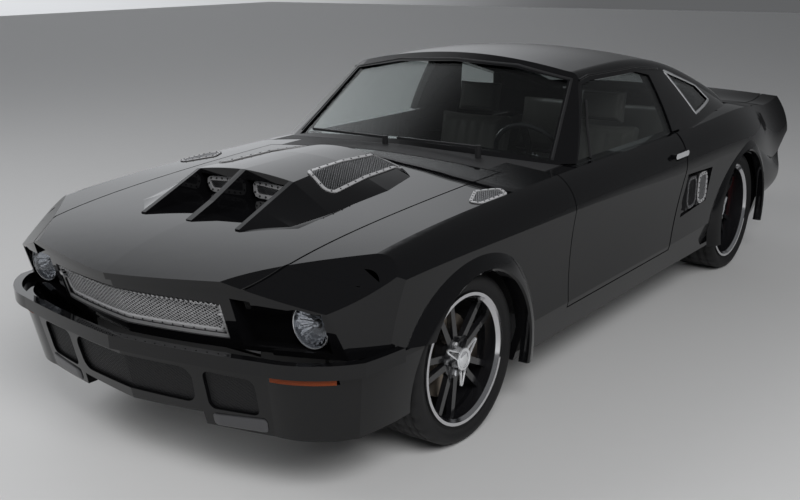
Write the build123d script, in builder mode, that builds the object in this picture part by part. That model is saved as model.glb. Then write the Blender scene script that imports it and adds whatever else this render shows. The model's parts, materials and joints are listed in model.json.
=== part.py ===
"""Fastback muscle car: a unit body with bolt-on panels, a hinged hood, doors and trunk lid,
steered front knuckles and four free wheels. Millimetres, +X forward, +Y left, +Z up,
origin on the ground under the middle of the car."""

import os
from collections import namedtuple

from build123d import *

os.makedirs("parts", exist_ok=True)

# Overall sizes and the two axles
LENGTH = 4660
WHEELBASE = 2743
FRONT_OVERHANG = 900
FRONT_X = LENGTH / 2 - FRONT_OVERHANG
REAR_X = FRONT_X - WHEELBASE
SILL_BOTTOM = 215
FAR = 3000

# Fits: open seams between panels, wider seams at the hood, seats and running bores
SEAM = 6
HOOD_SEAM = 8
SEAT = 0.3
RUNNING = 0.05

# Lower body sections: distance from the front axle (negative is behind it), half width and
# height of the tuck above the sill, of the side crease and of the fender or quarter peak,
# the height on the centre line, then how far the side and the shoulder bow outwards
Section = namedtuple(
    "Section", "dx tuck_y tuck_z crease_y crease_z peak_y peak_z mid_z side_bow shoulder_bow"
)
BODY_SECTIONS = [
    Section(905, 800, 380, 838, 690, 765, 722, 732, 6, 10),
    Section(650, 838, 370, 868, 722, 780, 784, 815, 2, 14),
    Section(320, 864, 360, 890, 746, 788, 832, 853, -6, 18),
    Section(-180, 872, 350, 897, 748, 797, 862, 895, -10, 20),
    Section(-715, 872, 350, 897, 742, 806, 876, 928, -12, 20),
    Section(-1250, 872, 350, 897, 727, 812, 880, 935, -12, 20),
    Section(-1900, 872, 350, 898, 706, 818, 880, 935, -6, 22),
    Section(-2743, 876, 360, 902, 690, 800, 893, 925, 10, 26),
    Section(-3765, 800, 380, 822, 660, 752, 884, 900, 14, 22),
]

# Cabin sections: distance from the front axle, half width at the base, half width and height
# of the drip rail, and the height on the centre line
CABIN_BASE = 760
Cabin = namedtuple("Cabin", "dx base_y rail_y rail_z top_z")
CABIN_SECTIONS = [
    Cabin(-400, 842, 606, 1180, 1244),
    Cabin(-1000, 846, 618, 1202, 1276),
    Cabin(-1450, 848, 632, 1214, 1294),
    Cabin(-1950, 846, 634, 1204, 1274),
    Cabin(-2400, 832, 626, 1122, 1190),
    Cabin(-2800, 800, 612, 1012, 1070),
    Cabin(-3250, 750, 590, 848, 882),
]
GLASS_SINK = 7
GLASS_THICK = 6
ROOF_WALL = 42

# Windshield: centre and corner of its plan arc at a low and at a high level
SHIELD_LOW = (850, 820, 615, 760)
SHIELD_HIGH = (1330, 140, 100, 500)

# Nose and tail faces
NOSE_X = 2320
NOSE_Z = 740
NOSE_CORNER = (2100, 815)
NOSE_BOW = 34
NOSE_LEAN = 0.27
NOSE_DEPTH = 125
NOSE_BOTTOM = 512
BROW_TIP = (2110, 762, 673)
BROW_FACING = (0.499, 0.433, 0.751)
CHEEK_START = (1800, 900)
CHEEK_BOW = -14
FENDER_SOLID_X = 1931
FENDER_FRONT_Z = NOSE_BOTTOM - 14
TAIL_X = -2318

# Panel splits
HOOD_SKIN = 28
HOOD_REAR_X = 862
DOOR_FRONT_X = 715
DOOR_INNER_Y = 752
DOOR_BOTTOM = 330
DOOR_TOP_REAR_X = -520
DOOR_LOW_REAR_X = -345
DOOR_TAPER = 18
DOOR_CUT_TOP = 1000
GLASS_FOOT = 857
GLASS_EDGE = 7
GLASS_REAR_GAP = 14
HANDLE_X = -370
HANDLE_Z = 800
HANDLE_LENGTH = 160
BELT_Z = 880
CABIN_Y = 742
WALL = 105
ROOF_REAR_X = -1700
TRUNK_FRONT_X = ROOF_REAR_X - SEAM
TRUNK_Y = 640
FENDER_Y = 560

# Front fascia and bumper plan: centre, turn, corner and rear end of the left side
FASCIA_X = 2296
FASCIA_TURN = (2200, 590)
FASCIA_CORNER = (2040, 848)
FASCIA_END = (1740, 874)
FASCIA_TOP = 700
FASCIA_TUCK = 48
MOUTH_CORNER = 44
DUCT_CORNER = 26
FASCIA_WALL = 40
CHIN_BOTTOM = 236
BUMPER_PROUD = LENGTH / 2 - FASCIA_X
BUMPER_BOTTOM = 478
BUMPER_TOP = 526
BUMPER_END_X = 1884
SIGNAL_PROUD = 4

# Nose details
NOSE_STEP = 18
LAMP_DEPTH = 72
LAMP_Y = 676
LAMP_Z = 611
LAMP_R = 74
LAMP_BACK_X = 2022
LAMP_FRONT_X = 2096

# Tail details
TAIL_PANEL_Y = 638
BLADE_Z = 598
LAMP_FLOOR_X = -2290
LAMP_ROWS = (330, 440, 550)
LAMP_WIDTH = 84
LAMP_LOW_Z = 676
LAMP_HIGH_Z = 812

# Inside and under the body
FLOOR_Z = 246
SILL_INNER_Y = 735
JACK_X = (-250, 560)
FIREWALL_X = 690
TUNNEL_Y = 120
TUNNEL_Z = 412
APRON_Y = 440
BAY_FRONT_X = 1930
REAR_FLOOR_X = -700
REAR_FLOOR_Z = 500
REAR_FLOOR_END_X = -2062
TUB_Y = 548
EXHAUST_Y = 430
EXHAUST_Z = 205
EXHAUST_R = 27
EXHAUST_END_X = -1960
SPRING_Y = 510
AXLE_END_Y = 640
CROSSMEMBER_TOP = 246
ARM_LOW_Z = 172
ARM_HIGH_Z = 462
ARM_THICK = 18
PIN_R = 11
SEAT_Y = 375
SEAT_HALF = 220
COLUMN_R = 24
WIPER_X = 722
WIPER_Y = (430, -60)
WIPER_LENGTH = 430
LOUVRE_X = (-545, -690)

# Hood scoop: fin tips, front lip of the top and rear end
SCOOP_TIP_X = 1940
SCOOP_LIP_X = 1657
SCOOP_REAR_X = 1040
SCOOP_TOP = 972
FIN_HALF = 14

# Wheels: place, tyre radius and width, centre plane, rim radius and the depth of the dish
Wheel = namedtuple("Wheel", "x radius width y rim dish")
FRONT_WHEEL = Wheel(FRONT_X, 322, 235, 732, 240, 44)
REAR_WHEEL = Wheel(REAR_X, 332, 275, 717, 254, 88)
SPINDLE_R = 20
WELL_R = 374
FRONT_ARCH_R = 338
REAR_ARCH_R = 344
ARCH_INNER_Y = 866
FLARE_LIP_Y = 912
FLARE_REACH = 96
HUB_R = 78
HUB_BACK = 30
DISC_THICK = 18
PAD_GAP = 7
RIM_LIP = 14
SPOKE_PAIRS = 5
SPOKE_SPLIT = 4
SPOKE_THICK = 22
SPOKE_SPREAD = 34
SPOKE_TIP = 22
SPOKE_ROOT = 26
LUG_CIRCLE = 114
LUG_R = 12
LUG_TALL = 11
SPINNER_R = 40
SPINNER_TALL = 34
SPINNER_REACH = 74
SPINNER_BAR = 18
SPINNER_BAR_TALL = 14
SPINNER_BAR_GAP = 4
KINGPIN_Y = 680
DISC_R = 160
CALIPER_NEAR = 112
CALIPER_FAR = 188
CALIPER_TALL = 132
CALIPER_BACK = 17
CALIPER_FACE = 15


def bow(start, end, rise):
    """Arc from start to end, its middle off the chord by rise to the right of the way along it."""
    (u0, v0), (u1, v1) = start, end
    run = ((u1 - u0) ** 2 + (v1 - v0) ** 2) ** 0.5
    middle = ((u0 + u1) / 2 + rise * (v1 - v0) / run, (v0 + v1) / 2 - rise * (u1 - u0) / run)
    return ThreePointArc(start, middle, end)


def body_half(inset):
    """Left half of the lower body as one closed solid, its skin moved inwards by inset."""
    with BuildPart() as half:
        for s in BODY_SECTIONS:
            foot = (s.tuck_y - 30 - inset, SILL_BOTTOM + inset)
            tuck = (s.tuck_y - inset, s.tuck_z)
            crease = (s.crease_y - inset, s.crease_z - inset * 0.3)
            peak = (s.peak_y - inset * 0.8, s.peak_z - inset)
            middle = (0, s.mid_z - inset)
            with BuildSketch(Plane.YZ.offset(FRONT_X + s.dx)):
                with BuildLine():
                    Line((0, SILL_BOTTOM + inset), foot)
                    Line(foot, tuck)
                    bow(tuck, crease, s.side_bow)
                    bow(crease, peak, s.shoulder_bow)
                    bow(peak, middle, (s.mid_z - s.peak_z) * 0.2)
                    Line(middle, (0, SILL_BOTTOM + inset))
                make_face()
        loft()
    return half.part


def cabin_half(inset):
    """Left half of the glasshouse as one closed solid, its skin moved inwards by inset."""
    with BuildPart() as half:
        for s in CABIN_SECTIONS:
            base = (s.base_y - inset, CABIN_BASE)
            rail_low = (s.rail_y + 14 - inset, s.rail_z - 34 - inset * 0.4)
            rail_high = (s.rail_y - 48 - inset * 0.8, s.rail_z + 20 - inset)
            middle = (0, s.top_z - inset)
            with BuildSketch(Plane.YZ.offset(FRONT_X + s.dx)):
                with BuildLine():
                    Line((0, CABIN_BASE), base)
                    bow(base, rail_low, 16)
                    bow(rail_low, rail_high, 11)
                    TangentArc(middle, rail_high, tangent=(1, 0))
                    Line(middle, (0, CABIN_BASE))
                make_face()
        loft()
    return half.part


def behind_shield(shift):
    """Left half of everything behind the windshield's face, the face moved back by shift."""
    with BuildPart() as room:
        for z, middle_x, corner_x, corner_y in (SHIELD_LOW, SHIELD_HIGH):
            with BuildSketch(Plane.XY.offset(z)):
                with BuildLine():
                    Line((-FAR, 0), (middle_x - shift, 0))
                    TangentArc((middle_x - shift, 0), (corner_x - shift, corner_y), tangent=(0, 1))
                    Polyline(
                        (corner_x - shift, corner_y),
                        (corner_x - shift - 300, 1100),
                        (-FAR, 1100),
                        (-FAR, 0),
                    )
                make_face()
        loft(ruled=True)
    return room.part


def behind_nose(shift):
    """Left half of everything behind the nose face, the face moved back by shift."""
    top = 1000
    lead = NOSE_LEAN * (top - NOSE_Z) - shift
    with BuildPart() as room:
        with BuildSketch(Plane.XY.offset(top)):
            with BuildLine():
                bow((NOSE_X + lead, 0), (NOSE_CORNER[0] + lead, NOSE_CORNER[1]), NOSE_BOW)
                bow((NOSE_CORNER[0] + lead, NOSE_CORNER[1]), (NOSE_CORNER[0] + lead - 160, 930), 18)
                Polyline(
                    (NOSE_CORNER[0] + lead - 160, 930), (-FAR, 930), (-FAR, 0), (NOSE_X + lead, 0)
                )
            make_face()
        extrude(amount=top, dir=(-NOSE_LEAN, 0, -1))
    return room.part


def hood_outline(grow):
    """Left half of the hood's plan outline as a tall prism, grown outwards by grow."""
    with BuildPart() as prism:
        with BuildSketch():
            with BuildLine():
                Polyline(
                    (HOOD_REAR_X - grow, 0),
                    (HOOD_REAR_X - grow, 618 + grow),
                    (2060, 586 + grow),
                )
                bow((2060, 586 + grow), (2420, 340 + grow), -34)
                Polyline((2420, 340 + grow), (2420, 0), (HOOD_REAR_X - grow, 0))
            make_face()
        extrude(amount=1500)
    return prism.part


def slab(x0, x1, y0, y1, z0, z1):
    """Upright box between three pairs of planes."""
    with BuildPart() as block:
        with Locations(((x0 + x1) / 2, (y0 + y1) / 2, (z0 + z1) / 2)):
            Box(x1 - x0, y1 - y0, z1 - z0)
    return block.part


def prism(plane, points, length, grow=0, corner=0):
    """Prism over a polygon, its corners rounded and then the outline grown by grow."""
    with BuildPart() as block:
        with BuildSketch(plane) as outline:
            Polygon(*points, align=None)
            if corner:
                fillet(outline.vertices(), corner)
            if grow:
                offset(amount=grow, kind=Kind.INTERSECTION)
        extrude(amount=length)
    return block.part


def side_prism(points, y0, y1, grow=0):
    """Prism along Y over an outline of X and Z points."""
    return prism(Plane.XZ.offset(-y1), points, y1 - y0, grow)


def front_prism(points, x0, x1, grow=0, corner=0):
    """Prism along X over an outline of Y and Z points."""
    return prism(Plane.YZ.offset(x0), points, x1 - x0, grow, corner)


def top_prism(points, z0, z1, grow=0):
    """Prism along Z over an outline of X and Y points."""
    return prism(Plane.XY.offset(z0), points, z1 - z0, grow)


def rod(plane, radius, length):
    """Cylinder from a plane's origin along its normal."""
    with BuildPart() as bar:
        with BuildSketch(plane):
            Circle(radius)
        extrude(amount=length)
    return bar.part


def axle_rod(x, z, radius, y0, y1):
    """Cylinder along Y."""
    return rod(Plane(origin=(x, y0, z), x_dir=(1, 0, 0), z_dir=(0, 1, 0)), radius, y1 - y0)


def post(x, y, radius, z0, z1):
    """Cylinder along Z."""
    return rod(Plane((x, y, z0)), radius, z1 - z0)


def pipe(x0, x1, y, z, radius):
    """Cylinder along X."""
    return rod(Plane(origin=(x0, y, z), x_dir=(0, 1, 0), z_dir=(1, 0, 0)), radius, x1 - x0)


def fascia_plan(grow, z0, z1):
    """Left half of the front fascia between two levels, its face moved out by grow."""
    with BuildPart() as block:
        for z, out in ((FASCIA_TOP, grow), (BUMPER_BOTTOM, grow), (CHIN_BOTTOM, grow - FASCIA_TUCK)):
            turn = (FASCIA_TURN[0] + out * 0.9, FASCIA_TURN[1] + out * 0.4)
            corner = (FASCIA_CORNER[0] + out * 0.5, FASCIA_CORNER[1] + out * 0.85)
            end = (FASCIA_END[0], FASCIA_END[1] + out)
            with BuildSketch(Plane.XY.offset(z)):
                with BuildLine():
                    bow((FASCIA_X + out, 0), turn, 10)
                    bow(turn, corner, 34)
                    bow(corner, end, 8)
                    Polyline(end, (FASCIA_END[0], 0), (FASCIA_X + out, 0))
                make_face()
        loft(ruled=True)
        add(slab(0, FAR, 0, FAR, z0, z1), mode=Mode.INTERSECT)
    return block.part


def flare(wheel, arch_r):
    """Rolled lip round a wheel arch, a ring whose outer face falls back into the fender."""
    lip_x = wheel.x + arch_r
    with BuildPart() as ring:
        with BuildSketch(Plane.XY.offset(wheel.radius)):
            with BuildLine():
                Polyline(
                    (lip_x + FLARE_REACH, ARCH_INNER_Y),
                    (lip_x, ARCH_INNER_Y),
                    (lip_x, FLARE_LIP_Y - 6),
                    (lip_x + 8, FLARE_LIP_Y),
                )
                bow((lip_x + 8, FLARE_LIP_Y), (lip_x + FLARE_REACH, ARCH_INNER_Y), -7)
            make_face()
        revolve(axis=Axis((wheel.x, 0, wheel.radius), (0, 1, 0)))
    return ring.part


def tyre_part(w):
    """Tyre of a left wheel, revolved about its axle."""
    half = w.width / 2
    bead = w.x + w.rim + SEAT
    tread = w.x + w.radius
    with BuildPart() as tyre:
        with BuildSketch(Plane.XY.offset(w.radius)):
            with BuildLine():
                Polyline((bead + 10, w.y - half + 24), (bead, w.y - half + 24), (bead, w.y + half - 24))
                Line((bead, w.y + half - 24), (bead + 10, w.y + half - 24))
                bow((bead + 10, w.y + half - 24), (tread - 22, w.y + half - 4), -8)
                bow((tread - 22, w.y + half - 4), (tread, w.y + half - 28), -7)
                Line((tread, w.y + half - 28), (tread, w.y - half + 28))
                bow((tread, w.y - half + 28), (tread - 22, w.y - half + 4), -7)
                bow((tread - 22, w.y - half + 4), (bead + 10, w.y - half + 24), -8)
            make_face()
        revolve(axis=Axis((w.x, 0, w.radius), (0, 1, 0)))
    return tyre.part


def hub_plane_y(w):
    """Where the spokes' outer face lies along the axle of a left wheel."""
    return w.y + w.width / 2 - RIM_LIP - w.dish


def wheel_part(w):
    """Left wheel: dished rim, five pairs of spokes, hub with lug nuts and three-bar spinner."""
    inner_y = w.y - w.width / 2 + 12
    lip_y = w.y + w.width / 2 - RIM_LIP
    hub_y = hub_plane_y(w)
    rim_x = w.x + w.rim
    hub_face = Plane(origin=(w.x, hub_y, w.radius), x_dir=(1, 0, 0), z_dir=(0, 1, 0))
    with BuildPart() as wheel:
        with BuildSketch(Plane.XY.offset(w.radius)):
            with BuildLine():
                Polyline(
                    (rim_x - 10, inner_y),
                    (rim_x + 9, inner_y),
                    (rim_x + 9, inner_y + 8),
                    (rim_x, inner_y + 9),
                    (rim_x, lip_y - 9),
                    (rim_x + 9, lip_y - 8),
                    (rim_x + 9, lip_y),
                    (rim_x - 3, lip_y),
                    (rim_x - 14, lip_y - 14),
                    (rim_x - 18, hub_y - 16),
                    (rim_x - 10, hub_y - 40),
                    close=True,
                )
            make_face()
        revolve(axis=Axis((w.x, 0, w.radius), (0, 1, 0)))
        with BuildSketch(hub_face.offset(-SPOKE_THICK)):
            Circle(HUB_R)
            with PolarLocations(0, SPOKE_PAIRS):
                for side in (-1, 1):
                    Polygon(
                        (HUB_R - 14, side * SPOKE_SPLIT),
                        (w.rim - 8, side * SPOKE_SPREAD),
                        (w.rim - 8, side * (SPOKE_SPREAD + SPOKE_TIP)),
                        (HUB_R - 18, side * (SPOKE_SPLIT + SPOKE_ROOT)),
                        align=None,
                    )
        extrude(amount=SPOKE_THICK)
        with BuildSketch(hub_face.offset(-SPOKE_THICK)):
            Circle(HUB_R - 8)
        extrude(amount=-HUB_BACK)
        with BuildSketch(hub_face):
            with PolarLocations(LUG_CIRCLE / 2, SPOKE_PAIRS):
                RegularPolygon(LUG_R, 6)
        extrude(amount=LUG_TALL)
        with BuildSketch(hub_face):
            Circle(SPINNER_R)
        extrude(amount=SPINNER_TALL, taper=10)
        with BuildSketch(hub_face.offset(LUG_TALL + SPINNER_BAR_GAP)):
            with PolarLocations(SPINNER_REACH / 2, 3):
                Rectangle(SPINNER_REACH, SPINNER_BAR)
        extrude(amount=SPINNER_BAR_TALL, taper=8)
        with BuildSketch(hub_face.offset(-SPOKE_THICK - HUB_BACK)):
            Circle(SPINDLE_R + RUNNING)
        extrude(amount=SPOKE_THICK + HUB_BACK - 6, mode=Mode.SUBTRACT)
    return wheel.part


def disc_part(w):
    """Left brake disc, bolted to the back of the hub."""
    back_y = hub_plane_y(w) - SPOKE_THICK - HUB_BACK - SEAT
    with BuildPart() as disc:
        with BuildSketch(Plane(origin=(w.x, back_y, w.radius), x_dir=(1, 0, 0), z_dir=(0, 1, 0))):
            Circle(DISC_R)
            Circle(SPINDLE_R + RUNNING, mode=Mode.SUBTRACT)
        extrude(amount=-DISC_THICK)
    return disc.part


def caliper_part(w):
    """Left brake caliper, a block behind the axle that straddles the disc."""
    back_y = hub_plane_y(w) - SPOKE_THICK - HUB_BACK - DISC_THICK
    gap_y = back_y - PAD_GAP
    face_y = back_y + DISC_THICK + PAD_GAP
    low_z = w.radius - CALIPER_TALL / 2
    high_z = w.radius + CALIPER_TALL / 2
    with BuildPart() as caliper:
        add(
            slab(
                w.x - CALIPER_FAR,
                w.x - CALIPER_NEAR,
                gap_y - CALIPER_BACK,
                face_y + CALIPER_FACE,
                low_z,
                high_z,
            )
        )
        add(axle_rod(w.x, w.radius, DISC_R + PAD_GAP, gap_y, face_y), mode=Mode.SUBTRACT)
        add(axle_rod(w.x, w.radius, HUB_R + PAD_GAP, back_y, back_y + DISC_THICK + 30), mode=Mode.SUBTRACT)
    return caliper.part


outer = body_half(0)
liner = body_half(HOOD_SKIN)
under_hood = body_half(HOOD_SKIN + HOOD_SEAM)
seat_skin = body_half(HOOD_SKIN + SEAT)
wall_core = body_half(WALL)
deck = body_half(-SEAT)
cabin = cabin_half(0)
cabin_core = cabin_half(ROOF_WALL)
glass_face = cabin_half(GLASS_SINK)
glass_back = cabin_half(GLASS_SINK + GLASS_THICK)
nose_room = behind_nose(0)

# Outlines shared by neighbouring pieces
door_window = [(560, 850), (205, 1172), (120, 1184), (-330, 1182), (-466, 1156), (-472, 850)]
quarter_window = [(-702, 1150), (-1128, 1036), (-1204, 962), (-872, 938)]
rear_window = [(-800, -FAR), (-800, 470), (-1610, 520), (-1610, -FAR)]
shield_window = [
    (0, 946),
    (330, 936),
    (560, 918),
    (690, 898),
    (588, 1192),
    (320, 1236),
    (0, 1250),
    (-400, 1100),
]
grille_window = [(-30, 548), (415, 548), (415, 678), (-30, 686)]
lamp_window = [(455, 530), (756, 534), (752, 672), (455, 700)]
mouth = [(-200, 312), (286, 312), (300, 446), (-200, 446)]
duct = [(338, 302), (532, 306), (536, 440), (342, 446)]
chin_gap = [(-30, 0), (322, 0), (308, 282), (-30, 272)]
side_inlet = [(-452, 470), (-478, 686), (-800, 672), (-770, 500)]
tail_profile = [
    (FAR, 0),
    (-1700, 0),
    (-1700, SILL_BOTTOM + 10),
    (-2245, 590),
    (TAIL_X, 650),
    (TAIL_X + 45, 1000),
    (FAR, 1000),
]
tail_room = side_prism(tail_profile, 0, 1000)
valance_side = [
    (-2300, 650),
    (-2300, 604),
    (-2255, 590),
    (-1930, 372),
    (-1930, 396),
    (-2248, 612),
    (-2270, 650),
]

with BuildPart() as front_flare:
    add(flare(FRONT_WHEEL, FRONT_ARCH_R))
    add(slab(0, FAR, 0, FAR, SILL_BOTTOM, FAR), mode=Mode.INTERSECT)
    add(slab(FRONT_X, FAR, 0, FAR, 0, FENDER_FRONT_Z), mode=Mode.SUBTRACT)

# Front corners: a sloping brow over the lamps and cheeks drawn in towards the nose
with BuildPart() as corner_cut:
    with BuildSketch(Plane(origin=BROW_TIP, z_dir=BROW_FACING)):
        Rectangle(1600, 1600)
    extrude(amount=400)
    with BuildSketch(Plane.XY):
        with BuildLine():
            bow(CHEEK_START, BROW_TIP[:2], CHEEK_BOW)
            Polyline(BROW_TIP[:2], (2400, BROW_TIP[1]), (2400, 1000), (CHEEK_START[0], 1000), CHEEK_START)
        make_face()
    extrude(amount=900)
    add(slab(CHEEK_START[0], FAR, 300, FAR, FENDER_FRONT_Z - 10, FAR), mode=Mode.INTERSECT)

with BuildPart() as fender_core:
    add(liner)
    add(slab(0, FENDER_SOLID_X, 0, FAR, 0, FAR), mode=Mode.INTERSECT)

# Front fender: side skin from the nose to the door, open round the wheel
with BuildPart() as fender_left:
    add(outer)
    add(fender_core.part, mode=Mode.SUBTRACT)
    add(behind_nose(NOSE_DEPTH + SEAT), mode=Mode.INTERSECT)
    add(slab(DOOR_FRONT_X + SEAM / 2, FAR, FENDER_Y, FAR, 0, FAR), mode=Mode.INTERSECT)
    add(slab(0, FAR, 0, 800, 0, 740), mode=Mode.SUBTRACT)
    add(corner_cut.part, mode=Mode.SUBTRACT)
    add(hood_outline(HOOD_SEAM), mode=Mode.SUBTRACT)
    add(slab(FRONT_X, FAR, 0, FAR, 0, FENDER_FRONT_Z), mode=Mode.SUBTRACT)
    add(front_flare.part)
    add(axle_rod(FRONT_X, FRONT_WHEEL.radius, FRONT_ARCH_R, 400, 1000), mode=Mode.SUBTRACT)
fender_left.part.label = "fender_left"
export_step(fender_left.part, "parts/fender_left.step")

with BuildPart() as fender_right:
    mirror(fender_left.part, about=Plane.XZ)
fender_right.part.label = "fender_right"
export_step(fender_right.part, "parts/fender_right.step")

# Hood: crowned skin that runs out to a thin lip over the grille
with BuildPart() as hood:
    add(outer)
    add(liner, mode=Mode.SUBTRACT)
    add(nose_room, mode=Mode.INTERSECT)
    add(hood_outline(0), mode=Mode.INTERSECT)
    add(corner_cut.part, mode=Mode.SUBTRACT)
    add(slab(0, FAR, 0, FAR, 640, FAR), mode=Mode.INTERSECT)
    mirror(about=Plane.XZ)
hood.part.label = "hood"
export_step(hood.part, "parts/hood.step")

# Hood scoop: three fins that rise to a flat top over two inlets
Scoop = namedtuple("Scoop", "x top_z shoulder_y shoulder_z foot_y foot_z crown")
SCOOP_SECTIONS = [
    Scoop(SCOOP_TIP_X, 838, 248, 836, 262, 812, 0.5),
    Scoop(SCOOP_TIP_X - 114, 885, 247, 882, 424, 826, 1),
    Scoop(SCOOP_LIP_X, SCOOP_TOP, 246, SCOOP_TOP - 22, 434, 840, 4),
    Scoop(1330, SCOOP_TOP + 10, 196, SCOOP_TOP - 6, 446, 868, 4),
    Scoop(SCOOP_REAR_X + 90, SCOOP_TOP + 10, 166, SCOOP_TOP - 6, 424, 878, 4),
    Scoop(SCOOP_REAR_X, SCOOP_TOP - 30, 150, SCOOP_TOP - 40, 350, 884, 2),
    Scoop(SCOOP_REAR_X - 60, 900, 120, 897, 250, 886, 1),
]
with BuildPart() as hood_scoop:
    for row in SCOOP_SECTIONS:
        with BuildSketch(Plane.YZ.offset(row.x)):
            with BuildLine():
                shoulder = (row.shoulder_y, row.shoulder_z)
                Polyline((0, row.top_z), (0, row.foot_z), (row.foot_y, row.foot_z), shoulder)
                bow(shoulder, (0, row.top_z), row.crown)
            make_face()
    loft(ruled=True)
    add(slab(SCOOP_LIP_X - 40, FAR, FIN_HALF, 228, 700, 935), mode=Mode.SUBTRACT)
    add(slab(SCOOP_LIP_X + 2, FAR, FIN_HALF, 228, 900, 1100), mode=Mode.SUBTRACT)
    add(deck, mode=Mode.SUBTRACT)
    mirror(about=Plane.XZ)
hood_scoop.part.label = "hood_scoop"
export_step(hood_scoop.part, "parts/hood_scoop.step")

# Roof: pillars, rails and sail panels round the window openings
with BuildPart() as cabin_room:
    add(cabin_core)
    add(behind_shield(ROOF_WALL * 1.3), mode=Mode.INTERSECT)

with BuildPart() as roof:
    add(cabin)
    add(behind_shield(0), mode=Mode.INTERSECT)
    add(slab(ROOF_REAR_X, FAR, 0, FAR, 0, FAR), mode=Mode.INTERSECT)
    add(cabin_room.part, mode=Mode.SUBTRACT)
    add(outer, mode=Mode.SUBTRACT)
    add(front_prism(shield_window, 160, 1000), mode=Mode.SUBTRACT)
    add(side_prism(door_window, 400, 1000), mode=Mode.SUBTRACT)
    add(side_prism(quarter_window, 400, 1000), mode=Mode.SUBTRACT)
    add(top_prism(rear_window, 900, 1400), mode=Mode.SUBTRACT)
    add(slab(DOOR_TOP_REAR_X - 40, FAR, CABIN_Y, FAR, 0, BELT_Z + 10), mode=Mode.SUBTRACT)
    mirror(about=Plane.XZ)
roof.part.label = "roof"
export_step(roof.part, "parts/roof.step")

# Fixed glass: windshield, quarter windows and the rear window in the fastback
with BuildPart() as windshield_half:
    add(behind_shield(GLASS_SINK * 2))
    add(behind_shield(GLASS_SINK * 2 + GLASS_THICK * 2), mode=Mode.SUBTRACT)
    add(front_prism(shield_window, 160, 1000, -SEAT), mode=Mode.INTERSECT)
    add(slab(0, FAR, 0, FAR, 0, FAR), mode=Mode.INTERSECT)

with BuildPart() as cabin_glass:
    add(glass_face)
    add(glass_back, mode=Mode.SUBTRACT)

with BuildPart() as quarter_glass:
    add(cabin_glass.part)
    add(side_prism(quarter_window, 400, 1000, -SEAT), mode=Mode.INTERSECT)

with BuildPart() as rear_glass_half:
    add(cabin_glass.part)
    add(top_prism(rear_window, 900, 1400, -SEAT), mode=Mode.INTERSECT)

with BuildPart() as fixed_glass:
    add(windshield_half.part)
    add(quarter_glass.part)
    add(rear_glass_half.part)
    mirror(about=Plane.XZ)
fixed_glass.part.label = "fixed_glass"
export_step(fixed_glass.part, "parts/fixed_glass.step")

# Doors: a thick lower shell with a slot along the belt for the frameless glass
with BuildPart() as glass_slot:
    add(cabin_half(GLASS_SINK - SEAT))
    add(cabin_half(GLASS_SINK + GLASS_THICK + SEAT), mode=Mode.SUBTRACT)
    add(slab(-460, 550, 0, FAR, GLASS_FOOT - SEAT, FAR), mode=Mode.INTERSECT)

with BuildPart() as door_left:
    for y, taper in ((DOOR_INNER_Y, DOOR_TAPER), (950, 0)):
        with BuildSketch(Plane.XZ.offset(-y)):
            with BuildLine():
                Polyline(
                    (DOOR_FRONT_X - SEAM / 2, DOOR_BOTTOM),
                    (DOOR_FRONT_X - SEAM / 2, DOOR_CUT_TOP),
                    (DOOR_TOP_REAR_X + taper, DOOR_CUT_TOP),
                    (DOOR_LOW_REAR_X + taper, DOOR_BOTTOM),
                    close=True,
                )
            make_face()
    loft(ruled=True)
    add(outer, mode=Mode.INTERSECT)
    add(glass_slot.part, mode=Mode.SUBTRACT)
    with BuildSketch(Plane.XZ.offset(-880)):
        with Locations((HANDLE_X, HANDLE_Z)):
            SlotOverall(HANDLE_LENGTH, 26)
    extrude(amount=-22)
    with BuildSketch(Plane.XZ.offset(-880)):
        with Locations((HANDLE_X, HANDLE_Z)):
            SlotOverall(HANDLE_LENGTH - 50, 60)
    extrude(amount=-8, mode=Mode.SUBTRACT)
door_left.part.label = "door_left"
export_step(door_left.part, "parts/door_left.step")

with BuildPart() as door_right:
    mirror(door_left.part, about=Plane.XZ)
door_right.part.label = "door_right"
export_step(door_right.part, "parts/door_right.step")

with BuildPart() as door_left_glass:
    add(cabin_glass.part)
    add(side_prism(door_window, 400, 1000, -GLASS_EDGE), mode=Mode.INTERSECT)
    add(side_prism([(x + GLASS_REAR_GAP, z) for x, z in door_window], 400, 1000), mode=Mode.INTERSECT)
door_left_glass.part.label = "door_left_glass"
export_step(door_left_glass.part, "parts/door_left_glass.step")

with BuildPart() as door_right_glass:
    mirror(door_left_glass.part, about=Plane.XZ)
door_right_glass.part.label = "door_right_glass"
export_step(door_right_glass.part, "parts/door_right_glass.step")

# Rear quarters: thick side walls from the door to the tail, open round the wheel
quarter_side = [
    (DOOR_LOW_REAR_X - SEAM, 0),
    (DOOR_LOW_REAR_X - SEAM, DOOR_BOTTOM),
    (DOOR_TOP_REAR_X - SEAM, DOOR_CUT_TOP),
    (-FAR, DOOR_CUT_TOP),
    (-FAR, 0),
]
with BuildPart() as rear_flare:
    add(flare(REAR_WHEEL, REAR_ARCH_R))
    add(slab(-FAR, 0, 0, FAR, SILL_BOTTOM, FAR), mode=Mode.INTERSECT)
    add(tail_room, mode=Mode.INTERSECT)

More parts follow.
